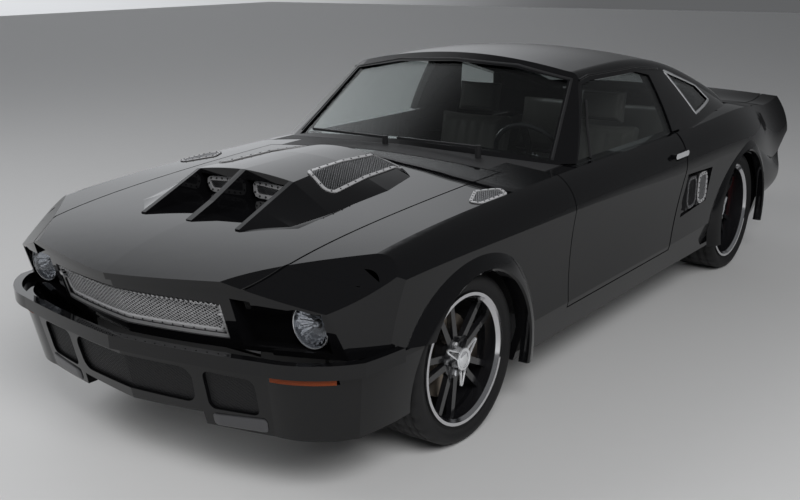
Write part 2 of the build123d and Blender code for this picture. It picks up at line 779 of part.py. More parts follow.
with BuildPart() as quarter_left:
    add(outer)
    add(wall_core, mode=Mode.SUBTRACT)
    add(side_prism(quarter_side, 0, 1000), mode=Mode.INTERSECT)
    add(tail_room, mode=Mode.INTERSECT)
    add(slab(-FAR, 0, -10, TRUNK_Y + SEAM, 0, FAR), mode=Mode.SUBTRACT)
    add(slab(-1250, 0, -10, CABIN_Y, 0, FAR), mode=Mode.SUBTRACT)
    add(slab(-2200, 0, -10, CABIN_Y, 0, 760), mode=Mode.SUBTRACT)
    add(rear_flare.part)
    add(axle_rod(REAR_X, REAR_WHEEL.radius, WELL_R, 0, ARCH_INNER_Y), mode=Mode.SUBTRACT)
    add(axle_rod(REAR_X, REAR_WHEEL.radius, REAR_ARCH_R, 0, 1000), mode=Mode.SUBTRACT)
    add(side_prism(side_inlet, 866, 1000), mode=Mode.SUBTRACT)
    add(slab(-560, -370, CABIN_Y - 8, DOOR_INNER_Y - SEAM, 420, 840))
    add(slab(-396, -370, CABIN_Y - 8, DOOR_INNER_Y - SEAT, 600, 680))
quarter_left.part.label = "quarter_left"
export_step(quarter_left.part, "parts/quarter_left.step")

with BuildPart() as quarter_right:
    mirror(quarter_left.part, about=Plane.XZ)
quarter_right.part.label = "quarter_right"
export_step(quarter_right.part, "parts/quarter_right.step")

# Sills under the doors with flat jack pads
sill_rear_x = DOOR_LOW_REAR_X - SEAM + SEAT
sill_front_x = DOOR_FRONT_X + SEAM / 2 - SEAT
with BuildPart() as sills:
    add(outer)
    add(slab(sill_rear_x, sill_front_x, SILL_INNER_Y, FAR, 0, DOOR_BOTTOM - SEAM), mode=Mode.INTERSECT)
    for x in JACK_X:
        add(slab(x - 50, x + 50, SILL_INNER_Y + 20, SILL_INNER_Y + 80, SILL_BOTTOM - 10, SILL_BOTTOM + 5))
    mirror(about=Plane.XZ)
sills.part.label = "sills"
export_step(sills.part, "parts/sills.step")

# Trunk lid
with BuildPart() as trunk_lid:
    add(outer)
    add(liner, mode=Mode.SUBTRACT)
    add(slab(-FAR, TRUNK_FRONT_X, -10, TRUNK_Y, 700, FAR), mode=Mode.INTERSECT)
    add(tail_room, mode=Mode.INTERSECT)
    mirror(about=Plane.XZ)
trunk_lid.part.label = "trunk_lid"
export_step(trunk_lid.part, "parts/trunk_lid.step")


def tail_lamp(y, gap):
    """Block of one tail lamp at the width y, smaller than its recess by gap all round."""
    half = LAMP_WIDTH / 2 - gap
    return slab(-FAR, LAMP_FLOOR_X - gap, y - half, y + half, LAMP_LOW_Z + gap, LAMP_HIGH_Z - gap)


# Tail panel, a shallow box end under the lid with rubber lid stops
with BuildPart() as lid_stop:
    add(post(-2256, 560, 16, 790, 900))
    add(seat_skin, mode=Mode.INTERSECT)

with BuildPart() as tail_panel:
    add(under_hood)
    add(slab(-FAR, -2228, -10, TAIL_PANEL_Y, BLADE_Z + 54 + SEAT, FAR), mode=Mode.INTERSECT)
    add(slab(-FAR, 0, TRUNK_Y, FAR, 760, FAR), mode=Mode.SUBTRACT)
    add(lid_stop.part)
    add(tail_room, mode=Mode.INTERSECT)
    for y in LAMP_ROWS:
        add(tail_lamp(y, 0), mode=Mode.SUBTRACT)
    mirror(about=Plane.XZ)
tail_panel.part.label = "tail_panel"
export_step(tail_panel.part, "parts/tail_panel.step")

with BuildPart() as tail_lamps:
    for y in LAMP_ROWS:
        add(tail_lamp(y, SEAT))
    add(tail_room, mode=Mode.INTERSECT)
    mirror(about=Plane.XZ)
tail_lamps.part.label = "tail_lamps"
export_step(tail_lamps.part, "parts/tail_lamps.step")

# Nose panel: brows over the headlamp recesses, grille opening between them
with BuildPart() as nose_core:
    add(under_hood)
    add(behind_nose(NOSE_STEP), mode=Mode.INTERSECT)

with BuildPart() as lamp_recess:
    add(behind_nose(-40))
    add(behind_nose(LAMP_DEPTH), mode=Mode.SUBTRACT)
    add(front_prism(lamp_window, 1900, 2500), mode=Mode.INTERSECT)

with BuildPart() as nose_panel:
    add(outer)
    add(nose_room, mode=Mode.INTERSECT)
    add(hood_outline(HOOD_SEAM), mode=Mode.SUBTRACT)
    add(nose_core.part)
    add(behind_nose(NOSE_DEPTH), mode=Mode.SUBTRACT)
    add(corner_cut.part, mode=Mode.SUBTRACT)
    add(slab(0, FAR, -10, FAR, 0, NOSE_BOTTOM), mode=Mode.SUBTRACT)
    add(front_prism(grille_window, 1900, 2500), mode=Mode.SUBTRACT)
    add(lamp_recess.part, mode=Mode.SUBTRACT)
    add(pipe(LAMP_BACK_X - SEAT, FAR, LAMP_Y, LAMP_Z, LAMP_R + SEAT), mode=Mode.SUBTRACT)
    mirror(about=Plane.XZ)
nose_panel.part.label = "nose_panel"
export_step(nose_panel.part, "parts/nose_panel.step")

# Front lamps: domed round headlamps in their recesses and slim signals under the bumper
with BuildPart() as signal:
    add(fascia_plan(SIGNAL_PROUD, 448, 478))
    add(fascia_plan(-8, 0, 1000), mode=Mode.SUBTRACT)
    add(slab(1900, FAR, 600, 800, 0, FAR), mode=Mode.INTERSECT)

with BuildPart() as front_lamps:
    with BuildSketch(Plane.XY.offset(LAMP_Z)):
        with BuildLine():
            Polyline(
                (LAMP_FRONT_X, LAMP_Y),
                (LAMP_BACK_X, LAMP_Y),
                (LAMP_BACK_X, LAMP_Y + LAMP_R),
                (LAMP_FRONT_X - 14, LAMP_Y + LAMP_R),
            )
            TangentArc((LAMP_FRONT_X, LAMP_Y), (LAMP_FRONT_X - 14, LAMP_Y + LAMP_R), tangent=(0, 1))
        make_face()
    revolve(axis=Axis((0, LAMP_Y, LAMP_Z), (1, 0, 0)))
    add(signal.part)
    mirror(about=Plane.XZ)
front_lamps.part.label = "front_lamps"
export_step(front_lamps.part, "parts/front_lamps.step")

# Front fascia: curved wall with a centre opening, brake ducts and deep side chins
with BuildPart() as front_fascia:
    add(fascia_plan(0, CHIN_BOTTOM, FENDER_FRONT_Z - SEAT))
    add(fascia_plan(-FASCIA_WALL, 0, 1000), mode=Mode.SUBTRACT)
    add(axle_rod(FRONT_X, FRONT_WHEEL.radius, FRONT_ARCH_R + 10, 0, 1000), mode=Mode.SUBTRACT)
    add(front_prism(chin_gap, 1900, 2500), mode=Mode.SUBTRACT)
    for window, corner in ((mouth, MOUTH_CORNER), (duct, DUCT_CORNER)):
        add(front_prism(window, 1900, 2500, 0, corner), mode=Mode.SUBTRACT)
    add(slab(FRONT_X, FAR, 600 - SEAT, 800 + SEAT, 448 - SEAT, 478 + SEAT), mode=Mode.SUBTRACT)
    mirror(about=Plane.XZ)
front_fascia.part.label = "front_fascia"
export_step(front_fascia.part, "parts/front_fascia.step")

# Front bumper: slim blade round the front corners
with BuildPart() as nose_solid:
    add(deck)
    add(behind_nose(-SEAT), mode=Mode.INTERSECT)

with BuildPart() as front_bumper:
    add(fascia_plan(BUMPER_PROUD, BUMPER_BOTTOM, BUMPER_TOP))
    add(fascia_plan(SEAT, 0, 1000), mode=Mode.SUBTRACT)
    add(nose_solid.part, mode=Mode.SUBTRACT)
    add(slab(BUMPER_END_X, FAR, 0, FAR, 0, FAR), mode=Mode.INTERSECT)
    mirror(about=Plane.XZ)
front_bumper.part.label = "front_bumper"
export_step(front_bumper.part, "parts/front_bumper.step")

# Grilles: framed screen over the bumper, screens in the lower opening and ducts
with BuildPart() as upper_frame:
    add(behind_nose(NOSE_STEP + 8))
    add(behind_nose(NOSE_STEP + 24), mode=Mode.SUBTRACT)
    add(front_prism(grille_window, 1900, 2500, -SEAT), mode=Mode.INTERSECT)
    add(front_prism(grille_window, 1900, 2500, -14), mode=Mode.SUBTRACT)

with BuildPart() as upper_screen:
    add(behind_nose(NOSE_STEP + 24))
    add(behind_nose(NOSE_STEP + 30), mode=Mode.SUBTRACT)
    add(front_prism(grille_window, 1900, 2500, -SEAT), mode=Mode.INTERSECT)

with BuildPart() as lower_screens:
    for window, corner in ((mouth, MOUTH_CORNER), (duct, DUCT_CORNER)):
        add(front_prism(window, 1900, 2500, -SEAT, corner))
    add(fascia_plan(-14, 0, 1000), mode=Mode.INTERSECT)
    add(fascia_plan(-20, 0, 1000), mode=Mode.SUBTRACT)

with BuildPart() as grilles:
    add(upper_frame.part)
    add(upper_screen.part)
    add(lower_screens.part)
    add(slab(0, FAR, 0, FAR, 0, FAR), mode=Mode.INTERSECT)
    mirror(about=Plane.XZ)
grilles.part.label = "grilles"
export_step(grilles.part, "parts/grilles.step")

# Engine bay: cowl, firewall, wheel aprons and radiator support with hood stops
with BuildPart() as cowl:
    add(outer)
    add(body_half(40), mode=Mode.SUBTRACT)
    add(slab(520, HOOD_REAR_X - HOOD_SEAM, 0, FENDER_Y - SEAT, 700, FAR), mode=Mode.INTERSECT)
    add(behind_shield(80), mode=Mode.SUBTRACT)

with BuildPart() as cowl_end:
    add(outer)
    add(body_half(40), mode=Mode.SUBTRACT)
    add(slab(520, DOOR_FRONT_X - SEAM, 400, CABIN_Y, 700, FAR), mode=Mode.INTERSECT)
    add(behind_shield(80), mode=Mode.SUBTRACT)

with BuildPart() as bay_walls:
    add(slab(FIREWALL_X, FIREWALL_X + 16, -10, SILL_INNER_Y - SEAT, FLOOR_Z, FAR))
    add(slab(FIREWALL_X, BAY_FRONT_X, APRON_Y - 15, APRON_Y, 330, 712))
    add(slab(DOOR_FRONT_X + SEAM, BAY_FRONT_X, APRON_Y - 15, FAR, 700, 712))
    add(slab(BAY_FRONT_X - 20, BAY_FRONT_X, -10, 600, 300, 712))
    add(post(BAY_FRONT_X - 40, 520, 18, 700, 900))
    add(slab(BAY_FRONT_X - 30, BAY_FRONT_X + 10, -10, 300, 380, 640), mode=Mode.SUBTRACT)
    add(slab(FIREWALL_X - 10, FIREWALL_X + 30, -10, TUNNEL_Y, 0, TUNNEL_Z), mode=Mode.SUBTRACT)
    add(seat_skin, mode=Mode.INTERSECT)
    add(axle_rod(FRONT_X, FRONT_WHEEL.radius, WELL_R, APRON_Y + 1, 1000), mode=Mode.SUBTRACT)

with BuildPart() as engine_bay:
    add(cowl.part)
    add(cowl_end.part)
    add(bay_walls.part)
    mirror(about=Plane.XZ)
engine_bay.part.label = "engine_bay"
export_step(engine_bay.part, "parts/engine_bay.step")

# Floor pan: flat floor, tunnel, raised rear floor with wheel tubs
with BuildPart() as floor_pan:
    add(slab(REAR_FLOOR_X, FIREWALL_X - SEAT, 0, SILL_INNER_Y - SEAT, FLOOR_Z, FLOOR_Z + 14))
    add(slab(REAR_FLOOR_X, FIREWALL_X - SEAT, 0, TUNNEL_Y + 16, FLOOR_Z, TUNNEL_Z + 16))
    add(slab(REAR_FLOOR_X - 14, REAR_FLOOR_X, 0, SILL_INNER_Y - SEAT, FLOOR_Z, REAR_FLOOR_Z))
    add(slab(REAR_FLOOR_END_X, REAR_FLOOR_X, 0, SILL_INNER_Y - SEAT, REAR_FLOOR_Z - 14, REAR_FLOOR_Z))
    add(slab(REAR_X - 400, REAR_X + 400, TUB_Y - 14, SILL_INNER_Y - SEAT, REAR_FLOOR_Z - 14, 722))
    add(slab(REAR_FLOOR_X - 20, FIREWALL_X, -10, TUNNEL_Y, 0, TUNNEL_Z), mode=Mode.SUBTRACT)
    add(axle_rod(REAR_X, REAR_WHEEL.radius, WELL_R, TUB_Y, FAR), mode=Mode.SUBTRACT)
    mirror(about=Plane.XZ)
floor_pan.part.label = "floor_pan"
export_step(floor_pan.part, "parts/floor_pan.step")

# Engine: one block in the middle of the bay
with BuildPart() as engine:
    add(slab(1000, 1640, -150, 150, CROSSMEMBER_TOP + SEAT, 560))
    add(slab(1010, 1600, -290, 290, 440, 700))
    add(slab(1100, 1500, -140, 140, 700, 800))
engine.part.label = "engine"
export_step(engine.part, "parts/engine.step")

# Fuel tank under the trunk floor
with BuildPart() as fuel_tank:
    add(slab(-1900, -1550, -360, 360, 330, REAR_FLOOR_Z - 14 - SEAT))
    fillet(fuel_tank.edges().filter_by(Axis.Z), 40)
fuel_tank.part.label = "fuel_tank"
export_step(fuel_tank.part, "parts/fuel_tank.step")

# Exhaust: two pipes with mufflers, out under the rear valance
with BuildPart() as exhaust:
    add(pipe(EXHAUST_END_X, 940, EXHAUST_Y, EXHAUST_Z, EXHAUST_R))
    add(slab(-620, -60, EXHAUST_Y - 95, EXHAUST_Y + 95, EXHAUST_Z - 38, FLOOR_Z - SEAT))
    fillet(exhaust.edges().filter_by(Axis.X).filter_by(GeomType.LINE), 30)
    add(pipe(EXHAUST_END_X - 40, EXHAUST_END_X + 110, EXHAUST_Y, EXHAUST_Z, EXHAUST_R + 10))
    add(pipe(EXHAUST_END_X - 50, EXHAUST_END_X + 90, EXHAUST_Y, EXHAUST_Z, EXHAUST_R + 5), mode=Mode.SUBTRACT)
    mirror(about=Plane.XZ)
exhaust.part.label = "exhaust"
export_step(exhaust.part, "parts/exhaust.step")

# Front suspension: crossmember, lower and upper arms out to the ball joints
with BuildPart() as front_suspension:
    add(slab(FRONT_X - 70, FRONT_X + 70, -10, 420, 180, CROSSMEMBER_TOP))
    for z in (ARM_LOW_Z, ARM_HIGH_Z):
        add(slab(FRONT_X - 26, FRONT_X + 26, APRON_Y + SEAT, KINGPIN_Y, z, z + ARM_THICK))
        add(post(FRONT_X, KINGPIN_Y, 26, z, z + ARM_THICK))
        add(post(FRONT_X, KINGPIN_Y, PIN_R + RUNNING, z - 10, z + ARM_THICK + 10), mode=Mode.SUBTRACT)
    add(slab(FRONT_X - 28, FRONT_X + 28, 400, APRON_Y + 40, ARM_LOW_Z, ARM_LOW_Z + ARM_THICK))
    add(post(FRONT_X, 520, 48, ARM_LOW_Z + 5, ARM_HIGH_Z + 5))
    mirror(about=Plane.XZ)
front_suspension.part.label = "front_suspension"
export_step(front_suspension.part, "parts/front_suspension.step")

# Rear axle: tubes, differential, leaf springs and drive shaft
rear_spindle_y = hub_plane_y(REAR_WHEEL) - 8
rear_disc_y = hub_plane_y(REAR_WHEEL) - SPOKE_THICK - HUB_BACK - DISC_THICK
with BuildPart() as rear_axle:
    add(axle_rod(REAR_X, REAR_WHEEL.radius, 38, 0, AXLE_END_Y))
    add(axle_rod(REAR_X, REAR_WHEEL.radius, SPINDLE_R, 0, rear_spindle_y))
    add(axle_rod(REAR_X, REAR_WHEEL.radius, 62, AXLE_END_Y - 20, AXLE_END_Y))
    add(slab(REAR_X - 620, REAR_X + 580, SPRING_Y - 30, SPRING_Y + 30, 252, 300))
    add(slab(REAR_X - 60, REAR_X + 60, SPRING_Y - 34, SPRING_Y + 34, 290, 340))
    for x in (REAR_X - 560, REAR_X + 560):
        add(slab(x - 20, x + 20, SPRING_Y - 24, SPRING_Y + 24, 290, REAR_FLOOR_Z - 14 - SEAT))
    add(caliper_part(REAR_WHEEL))
    add(slab(REAR_X - 140, REAR_X, AXLE_END_Y - 20, AXLE_END_Y, 300, 364))
    add(slab(REAR_X - 160, REAR_X - 120, AXLE_END_Y - 20, rear_disc_y - PAD_GAP, 306, 358))
    mirror(about=Plane.XZ)
    with Locations((REAR_X, 0, REAR_WHEEL.radius)):
        Sphere(118)
    add(pipe(REAR_X, 990, 0, REAR_WHEEL.radius, 36))
rear_axle.part.label = "rear_axle"
export_step(rear_axle.part, "parts/rear_axle.step")

# Rear bumper: blade across the tail with the valance below it
with BuildPart() as rear_bumper:
    with BuildSketch(Plane.XY.offset(BLADE_Z)):
        with BuildLine():
            bow((-LENGTH / 2, 0), (-2302, 640), -8)
            Polyline((-2302, 640), (-2268, 660), (-2268, 0), (-LENGTH / 2, 0))
        make_face()
    extrude(amount=54)
    add(side_prism(valance_side, 0, 660))
    mirror(about=Plane.XZ)
rear_bumper.part.label = "rear_bumper"
export_step(rear_bumper.part, "parts/rear_bumper.step")

# Wipers on the cowl
with BuildPart() as full_deck:
    add(deck)
    mirror(about=Plane.XZ)

with BuildPart() as wipers:
    for y in WIPER_Y:
        add(post(WIPER_X, y, 13, 880, 962))
        tip_y = y - WIPER_LENGTH
        blade = [(WIPER_X - 9, y + 9), (WIPER_X + 9, y + 9), (WIPER_X - 6, tip_y), (WIPER_X - 16, tip_y)]
        add(top_prism(blade, 950, 960))
    add(full_deck.part, mode=Mode.SUBTRACT)
wipers.part.label = "wipers"
export_step(wipers.part, "parts/wipers.step")

# Side vents: two louvre plates in each side inlet
with BuildPart() as side_vents:
    for x in LOUVRE_X:
        add(side_prism([(x + 62, 500), (x + 54, 664), (x - 62, 660), (x - 54, 512)], 866 + SEAT, 888))
    mirror(about=Plane.XZ)
side_vents.part.label = "side_vents"
export_step(side_vents.part, "parts/side_vents.step")

# Front seats: cushion, backrest and head rest
with BuildPart() as front_seats:
    for side in (-1, 1):
        y = side * SEAT_Y
        add(slab(-330, 200, y - SEAT_HALF, y + SEAT_HALF, FLOOR_Z + 14 + SEAT, 400))
        add(side_prism([(-330, 390), (-470, 900), (-590, 900), (-460, 390)], y - SEAT_HALF, y + SEAT_HALF))
        add(side_prism([(-500, 890), (-535, 1060), (-600, 1060), (-580, 890)], y - 130, y + 130))
front_seats.part.label = "front_seats"
export_step(front_seats.part, "parts/front_seats.step")

with BuildPart() as rear_seat:
    add(slab(-1180, -760, -510, 510, REAR_FLOOR_Z + SEAT, 590))
    add(side_prism([(-1090, 585), (-1230, 900), (-1330, 900), (-1200, 585)], -510, 510))
rear_seat.part.label = "rear_seat"
export_step(rear_seat.part, "parts/rear_seat.step")

# Dashboard across the cabin, bored for the steering column
wheel_tilt = Plane(origin=(170, SEAT_Y, 810), x_dir=(0, 1, 0), z_dir=(-0.9, 0, 0.44))
dash_side = [
    (520, 620),
    (400, 640),
    (380, 760),
    (425, 826),
    (560, 830),
    (FIREWALL_X - SEAT, 800),
    (FIREWALL_X - SEAT, 740),
    (580, 700),
]
with BuildPart() as dashboard:
    add(side_prism(dash_side, -725, 725))
    add(rod(wheel_tilt, COLUMN_R + SEAT, -300), mode=Mode.SUBTRACT)
dashboard.part.label = "dashboard"
export_step(dashboard.part, "parts/dashboard.step")

# Steering wheel: thin rim, three spokes, hub and column
with BuildPart() as steering_wheel:
    with BuildSketch(Plane(origin=wheel_tilt.origin, x_dir=wheel_tilt.x_dir, z_dir=wheel_tilt.y_dir)):
        with Locations((190, 0)):
            Circle(12)
    revolve(axis=Axis(wheel_tilt.origin, wheel_tilt.z_dir))
    with BuildSketch(wheel_tilt):
        Circle(42)
        with PolarLocations(105, 3, start_angle=-90):
            Rectangle(176, 34)
    extrude(amount=6, both=True)
    with BuildSketch(wheel_tilt):
        Circle(COLUMN_R)
    extrude(amount=-262)
steering_wheel.part.label = "steering_wheel"
export_step(steering_wheel.part, "parts/steering_wheel.step")

# Front knuckles with spindles, ball joint pins and brake calipers
disc_y = hub_plane_y(FRONT_WHEEL) - SPOKE_THICK - HUB_BACK - DISC_THICK
spindle_end_y = hub_plane_y(FRONT_WHEEL) - 8
with BuildPart() as knuckle_left:
    add(slab(FRONT_X - 32, FRONT_X + 32, KINGPIN_Y - 16, KINGPIN_Y + 16, 224, 440))
    add(axle_rod(FRONT_X, FRONT_WHEEL.radius, SPINDLE_R, KINGPIN_Y, spindle_end_y))
    add(post(FRONT_X, KINGPIN_Y, PIN_R, ARM_LOW_Z, 230))
    add(post(FRONT_X, KINGPIN_Y, PIN_R, 430, ARM_HIGH_Z + ARM_THICK))
    add(caliper_part(FRONT_WHEEL))
    add(slab(FRONT_X - 140, FRONT_X, disc_y - PAD_GAP - 17, disc_y - PAD_GAP, 292, 352))
knuckle_left.part.label = "knuckle_left"
export_step(knuckle_left.part, "parts/knuckle_left.step")

with BuildPart() as knuckle_right:
    mirror(knuckle_left.part, about=Plane.XZ)
knuckle_right.part.label = "knuckle_right"
export_step(knuckle_right.part, "parts/knuckle_right.step")

# Tyres and wheels
with BuildPart() as tyre_front_left:
    add(tyre_part(FRONT_WHEEL))
tyre_front_left.part.label = "tyre_front_left"
export_step(tyre_front_left.part, "parts/tyre_front_left.step")

with BuildPart() as tyre_front_right:
    mirror(tyre_front_left.part, about=Plane.XZ)
tyre_front_right.part.label = "tyre_front_right"
export_step(tyre_front_right.part, "parts/tyre_front_right.step")

with BuildPart() as tyre_rear_left:
    add(tyre_part(REAR_WHEEL))
tyre_rear_left.part.label = "tyre_rear_left"
export_step(tyre_rear_left.part, "parts/tyre_rear_left.step")

with BuildPart() as tyre_rear_right:
    mirror(tyre_rear_left.part, about=Plane.XZ)
tyre_rear_right.part.label = "tyre_rear_right"
export_step(tyre_rear_right.part, "parts/tyre_rear_right.step")

with BuildPart() as wheel_front_left:
    add(wheel_part(FRONT_WHEEL))
    add(disc_part(FRONT_WHEEL))
wheel_front_left.part.label = "wheel_front_left"
export_step(wheel_front_left.part, "parts/wheel_front_left.step")

with BuildPart() as wheel_front_right:
    mirror(wheel_front_left.part, about=Plane.XZ)
wheel_front_right.part.label = "wheel_front_right"
export_step(wheel_front_right.part, "parts/wheel_front_right.step")

with BuildPart() as wheel_rear_left:
    add(wheel_part(REAR_WHEEL))
    add(disc_part(REAR_WHEEL))
wheel_rear_left.part.label = "wheel_rear_left"
export_step(wheel_rear_left.part, "parts/wheel_rear_left.step")

with BuildPart() as wheel_rear_right:
    mirror(wheel_rear_left.part, about=Plane.XZ)
wheel_rear_right.part.label = "wheel_rear_right"
export_step(wheel_rear_right.part, "parts/wheel_rear_right.step")
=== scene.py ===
"""Fastback muscle car: paint, glass, wire screens, lamps, tyres, wheels, seats and trim, seen from
the front left. Lengths are in metres, with +X to the car's front, +Y to its left and Z up."""

import json
import math
from typing import NamedTuple

import bmesh
import bpy
from mathutils import Matrix, Vector


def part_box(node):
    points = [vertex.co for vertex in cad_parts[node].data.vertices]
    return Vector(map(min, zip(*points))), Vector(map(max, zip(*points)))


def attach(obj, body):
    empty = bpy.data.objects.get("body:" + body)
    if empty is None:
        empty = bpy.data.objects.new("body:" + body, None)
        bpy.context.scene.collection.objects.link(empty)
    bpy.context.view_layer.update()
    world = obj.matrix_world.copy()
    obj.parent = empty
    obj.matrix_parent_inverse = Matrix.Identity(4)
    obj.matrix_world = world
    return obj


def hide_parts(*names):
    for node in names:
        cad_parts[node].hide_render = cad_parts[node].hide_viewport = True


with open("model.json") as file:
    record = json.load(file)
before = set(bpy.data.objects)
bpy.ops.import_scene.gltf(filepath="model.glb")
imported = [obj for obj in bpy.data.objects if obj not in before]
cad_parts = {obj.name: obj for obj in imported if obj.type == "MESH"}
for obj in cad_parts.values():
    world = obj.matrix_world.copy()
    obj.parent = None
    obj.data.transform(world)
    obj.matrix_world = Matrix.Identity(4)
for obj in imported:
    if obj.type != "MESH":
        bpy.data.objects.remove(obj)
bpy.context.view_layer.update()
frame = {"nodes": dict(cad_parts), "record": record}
NODES = frame["nodes"]
SIDES = (("left", 1), ("right", -1))

# Camera: place, turn in radians, lens and shift of the picture's middle
CAMERA_AT = Vector((4.3444, 2.7494, 1.7000))
CAMERA_YAW = -2.5375
CAMERA_PITCH = -0.3287
CAMERA_ROLL = -0.0082
CAMERA_REACH = 100.0
LENS_MM = 46.35
SENSOR_MM = 36.0
SHIFT_X = -0.0548
SHIFT_Y = 0.0756

# Floor, and soft boxes with their place and watts
FLOOR_REACH = 30.0
FLOOR_GREY = (0.62, 0.62, 0.62)
SOFT_BOXES = (("key_box", (5.0, 6.0, 6.0), 620), ("fill_box", (5.0, -6.0, 5.5), 260))
BOX_SIZE = (5.0, 4.0)
BOX_AIM = (0.3, 0.0, 0.3)

# Soft glow of the surroundings: its middle, the cosine where it fades out, its tint and levels
GLOW_TOWARD = (-0.50, -0.85, 0.42)
GLOW_EDGE = 0.74
GLOW_TINT = (0.95, 0.97, 1.0, 1.0)
GLOW_LEVEL = 1.0
SKY_LEVEL = 0.12

# Opaque surfaces: detail and depth of the fine grain, and the clear coat
GRAIN_DETAIL = 4.0
GRAIN_DEPTH = 0.001
BASE_IOR = 1.5
COAT_IOR = 1.42
COAT_ROUGHNESS = 0.02

# Glass: share mirrored when seen square on, its rise with the slant, and the unevenness of tint
GLASS_MIRROR = 0.04
SLANT_BLEND = 0.5
SLANT_POWER = 5.0
HAZE_SCALE = 3.0
HAZE_SHARE = 0.96

# Where a ray starts outside the car
AHEAD_X = 3.0
BESIDE_Y = 2.0
ABOVE_Z = 2.0

# Sides of a square wire or border, and of a round bar
WIRE_SIDES = 4
BAR_SIDES = 8

# Woven screens: lifts and thicknesses as shares of the wire's radius or the border's width
SCREEN_RISE = 0.001
WEAVE = 0.35
WIRE_LIFT = 0.8
WIRE_FLAT = 0.6
WIRE_BENDS = 1.3
BORDER_LIFT = 1.6
BORDER_HALF = 0.72
BORDER_FLAT = 0.28
BORDER_STEP = 0.012
RIVET_LIFT = 0.14
RIVET_SHARE = 0.26
RIVET_TALL = 0.2
INLET_X = 1.640
LOUVRE_X = (-0.545, -0.690)

# Rivet head: height and radius of its rings, as shares
RIVET_RINGS = ((0.0, 1.0), (0.6, 0.86), (0.95, 0.4))
RIVET_SIDES = 8

# Headlamp: middle, and profiles of X against radius
LAMP_Y = 0.676
LAMP_Z = 0.611
LAMP_LENS = (
    (2.030, 0.0725), (2.078, 0.0725), (2.0835, 0.066), (2.0895, 0.048), (2.093, 0.026), (2.0945, 0.004),
)
LAMP_BEZEL = ((2.066, 0.0735), (2.078, 0.0735), (2.0805, 0.0722), (2.078, 0.0705), (2.066, 0.0705))
LAMP_BOWL = (
    (2.074, 0.0695), (2.0655, 0.0610), (2.0680, 0.0560), (2.0575, 0.0500), (2.0600, 0.0450),
    (2.0500, 0.0395), (2.0520, 0.0340), (2.0430, 0.0290), (2.0440, 0.0220), (2.0330, 0.0120),
)
LAMP_BULB = ((2.033, 0.010), (2.058, 0.010), (2.064, 0.007), (2.066, 0.001))
BOWL_BACK = 0.004
BOWL_WALL = 0.0015
BOWL_SIDES = 96
BULB_SIDES = 20
FLUTE_STEP = 6
FLUTE_SHARE = 0.93

# Turn signal: ends, height of its middle, ribs, and its section of Z against depth
SIGNAL_Y = (0.603, 0.797)
SIGNAL_Z = 0.463
SIGNAL_LEAST_X = 1.95
SIGNAL_STEPS = 64
RIB_HIGH = 0.0028
RIB_LOW = 0.0006
SIGNAL_SECTION = ((0.4485, -0.004), (0.450, 0.0), (0.463, 0.0012), (0.476, 0.0), (0.4775, -0.004))

# Tyre: side wall as inset against height over the bead, then against depth under the tread
BEAD_GAP = 0.0003
WALL_FOOT = ((0.024, 0.0), (0.0245, 0.010), (0.016, 0.022), (0.0145, 0.024), (0.0155, 0.026))
WALL_MIDDLE = 0.008
WALL_TOP = ((0.005, 0.030), (0.0055, 0.022), (0.011, 0.011), (0.022, 0.003), (0.030, 0.0))
TREAD_INSET = 0.026
GROOVES = (0.697436, 0.307692)
GROOVE_TOP = 0.0045
GROOVE_FLOOR = 0.004
GROOVE_DEPTH = 0.007
NOTCH_BAND = 0.004
NOTCH_STEP = 5
NOTCH_SHIFT = 2
NOTCH_DEPTH = 0.0055
TYRE_SIDES = 150

# Wheel: bands that take the polished lip, the bright hub and the bare disc
RIM_LIP = 0.014
RIM_BAND = 0.0145
HUB_PROUD = 0.0008
HUB_REACH = 0.12
BAR_FOOT = 0.013
BAR_INNER = 0.041
DISC_BEHIND = 0.051
DISC_REACH = 0.165

# Spinner: outline of half a bar, its lift and droop, and the cap as height over the hub against radius
SPINNER_BARS = 3
SPINNER_TURN = 0.56
SPINNER_OUTLINE = ((0.036, 0.0150), (0.060, 0.0115), (0.085, 0.0080), (0.101, 0.0055))
SPINNER_TIP = (0.106, 0.0)
SPINNER_ROOT = 0.036
SPINNER_LIFT = 0.030
SPINNER_DROOP = 0.10
SPINNER_WIRE = 0.0042
SPINNER_FLAT = 1.3
SPINNER_CAP = (
    (0.030, 0.0425), (0.0345, 0.0425), (0.0365, 0.0405), (0.0365, 0.0335), (0.0350, 0.0320),
    (0.0350, 0.0290), (0.0372, 0.0270), (0.0400, 0.0150), (0.0410, 0.0010),
)
CAP_SIDES = 48

# Padded seats: grid, pull of the sides and rounding, sewn and raised parts as shares of the half size
PAD_CUTS = 23
PAD_PULL = 0.035
PAD_RIM = 0.9
PAD_FLANK = 0.86
PAD_ROUND = 0.06
PAD_DROP = 0.30
PAD_DROP_FROM = 0.82
PAD_UNDER = 0.6
PAD_SEWN = 0.66
SEAM_DEPTH = 0.010
SEAM_POWER = 0.4
SEAT_Y = 0.375

# Trim: step of a moulding's points, and the faces that are chrome handles or bright grille frame
STRIP_STEP = 0.012
HANDLE_AT = (-0.370, 0.800)
HANDLE_HALF = (0.084, 0.016)
HANDLE_Y = 0.899
GRILLE_LOW_Z = 0.5
GRILLE_SIDE_Y = 0.4005
GRILLE_FOOT_Z = 0.5625
GRILLE_FACING = 0.3
RIVET_ROUND = 0.7

# Chin plates: thickness, corner and rings as share of the outline against share of the thickness
PLATE_THICK = 0.004
PLATE_CORNER = 0.014
PLATE_RINGS = ((1.0, 0.0), (1.0, 0.5), (0.97, 1.0), (0.66, 1.0), (0.33, 1.0), (0.05, 1.0))

# Steering wheel spokes, and the faces that are brake calipers
STEERING_SPOKES = 0.15
CALIPER_RING = (0.09, 0.22)
CALIPER_Y = 0.62
CALIPER_DROP = 0.12
CALIPER_ASIDE = 0.05

TINY = 1e-9


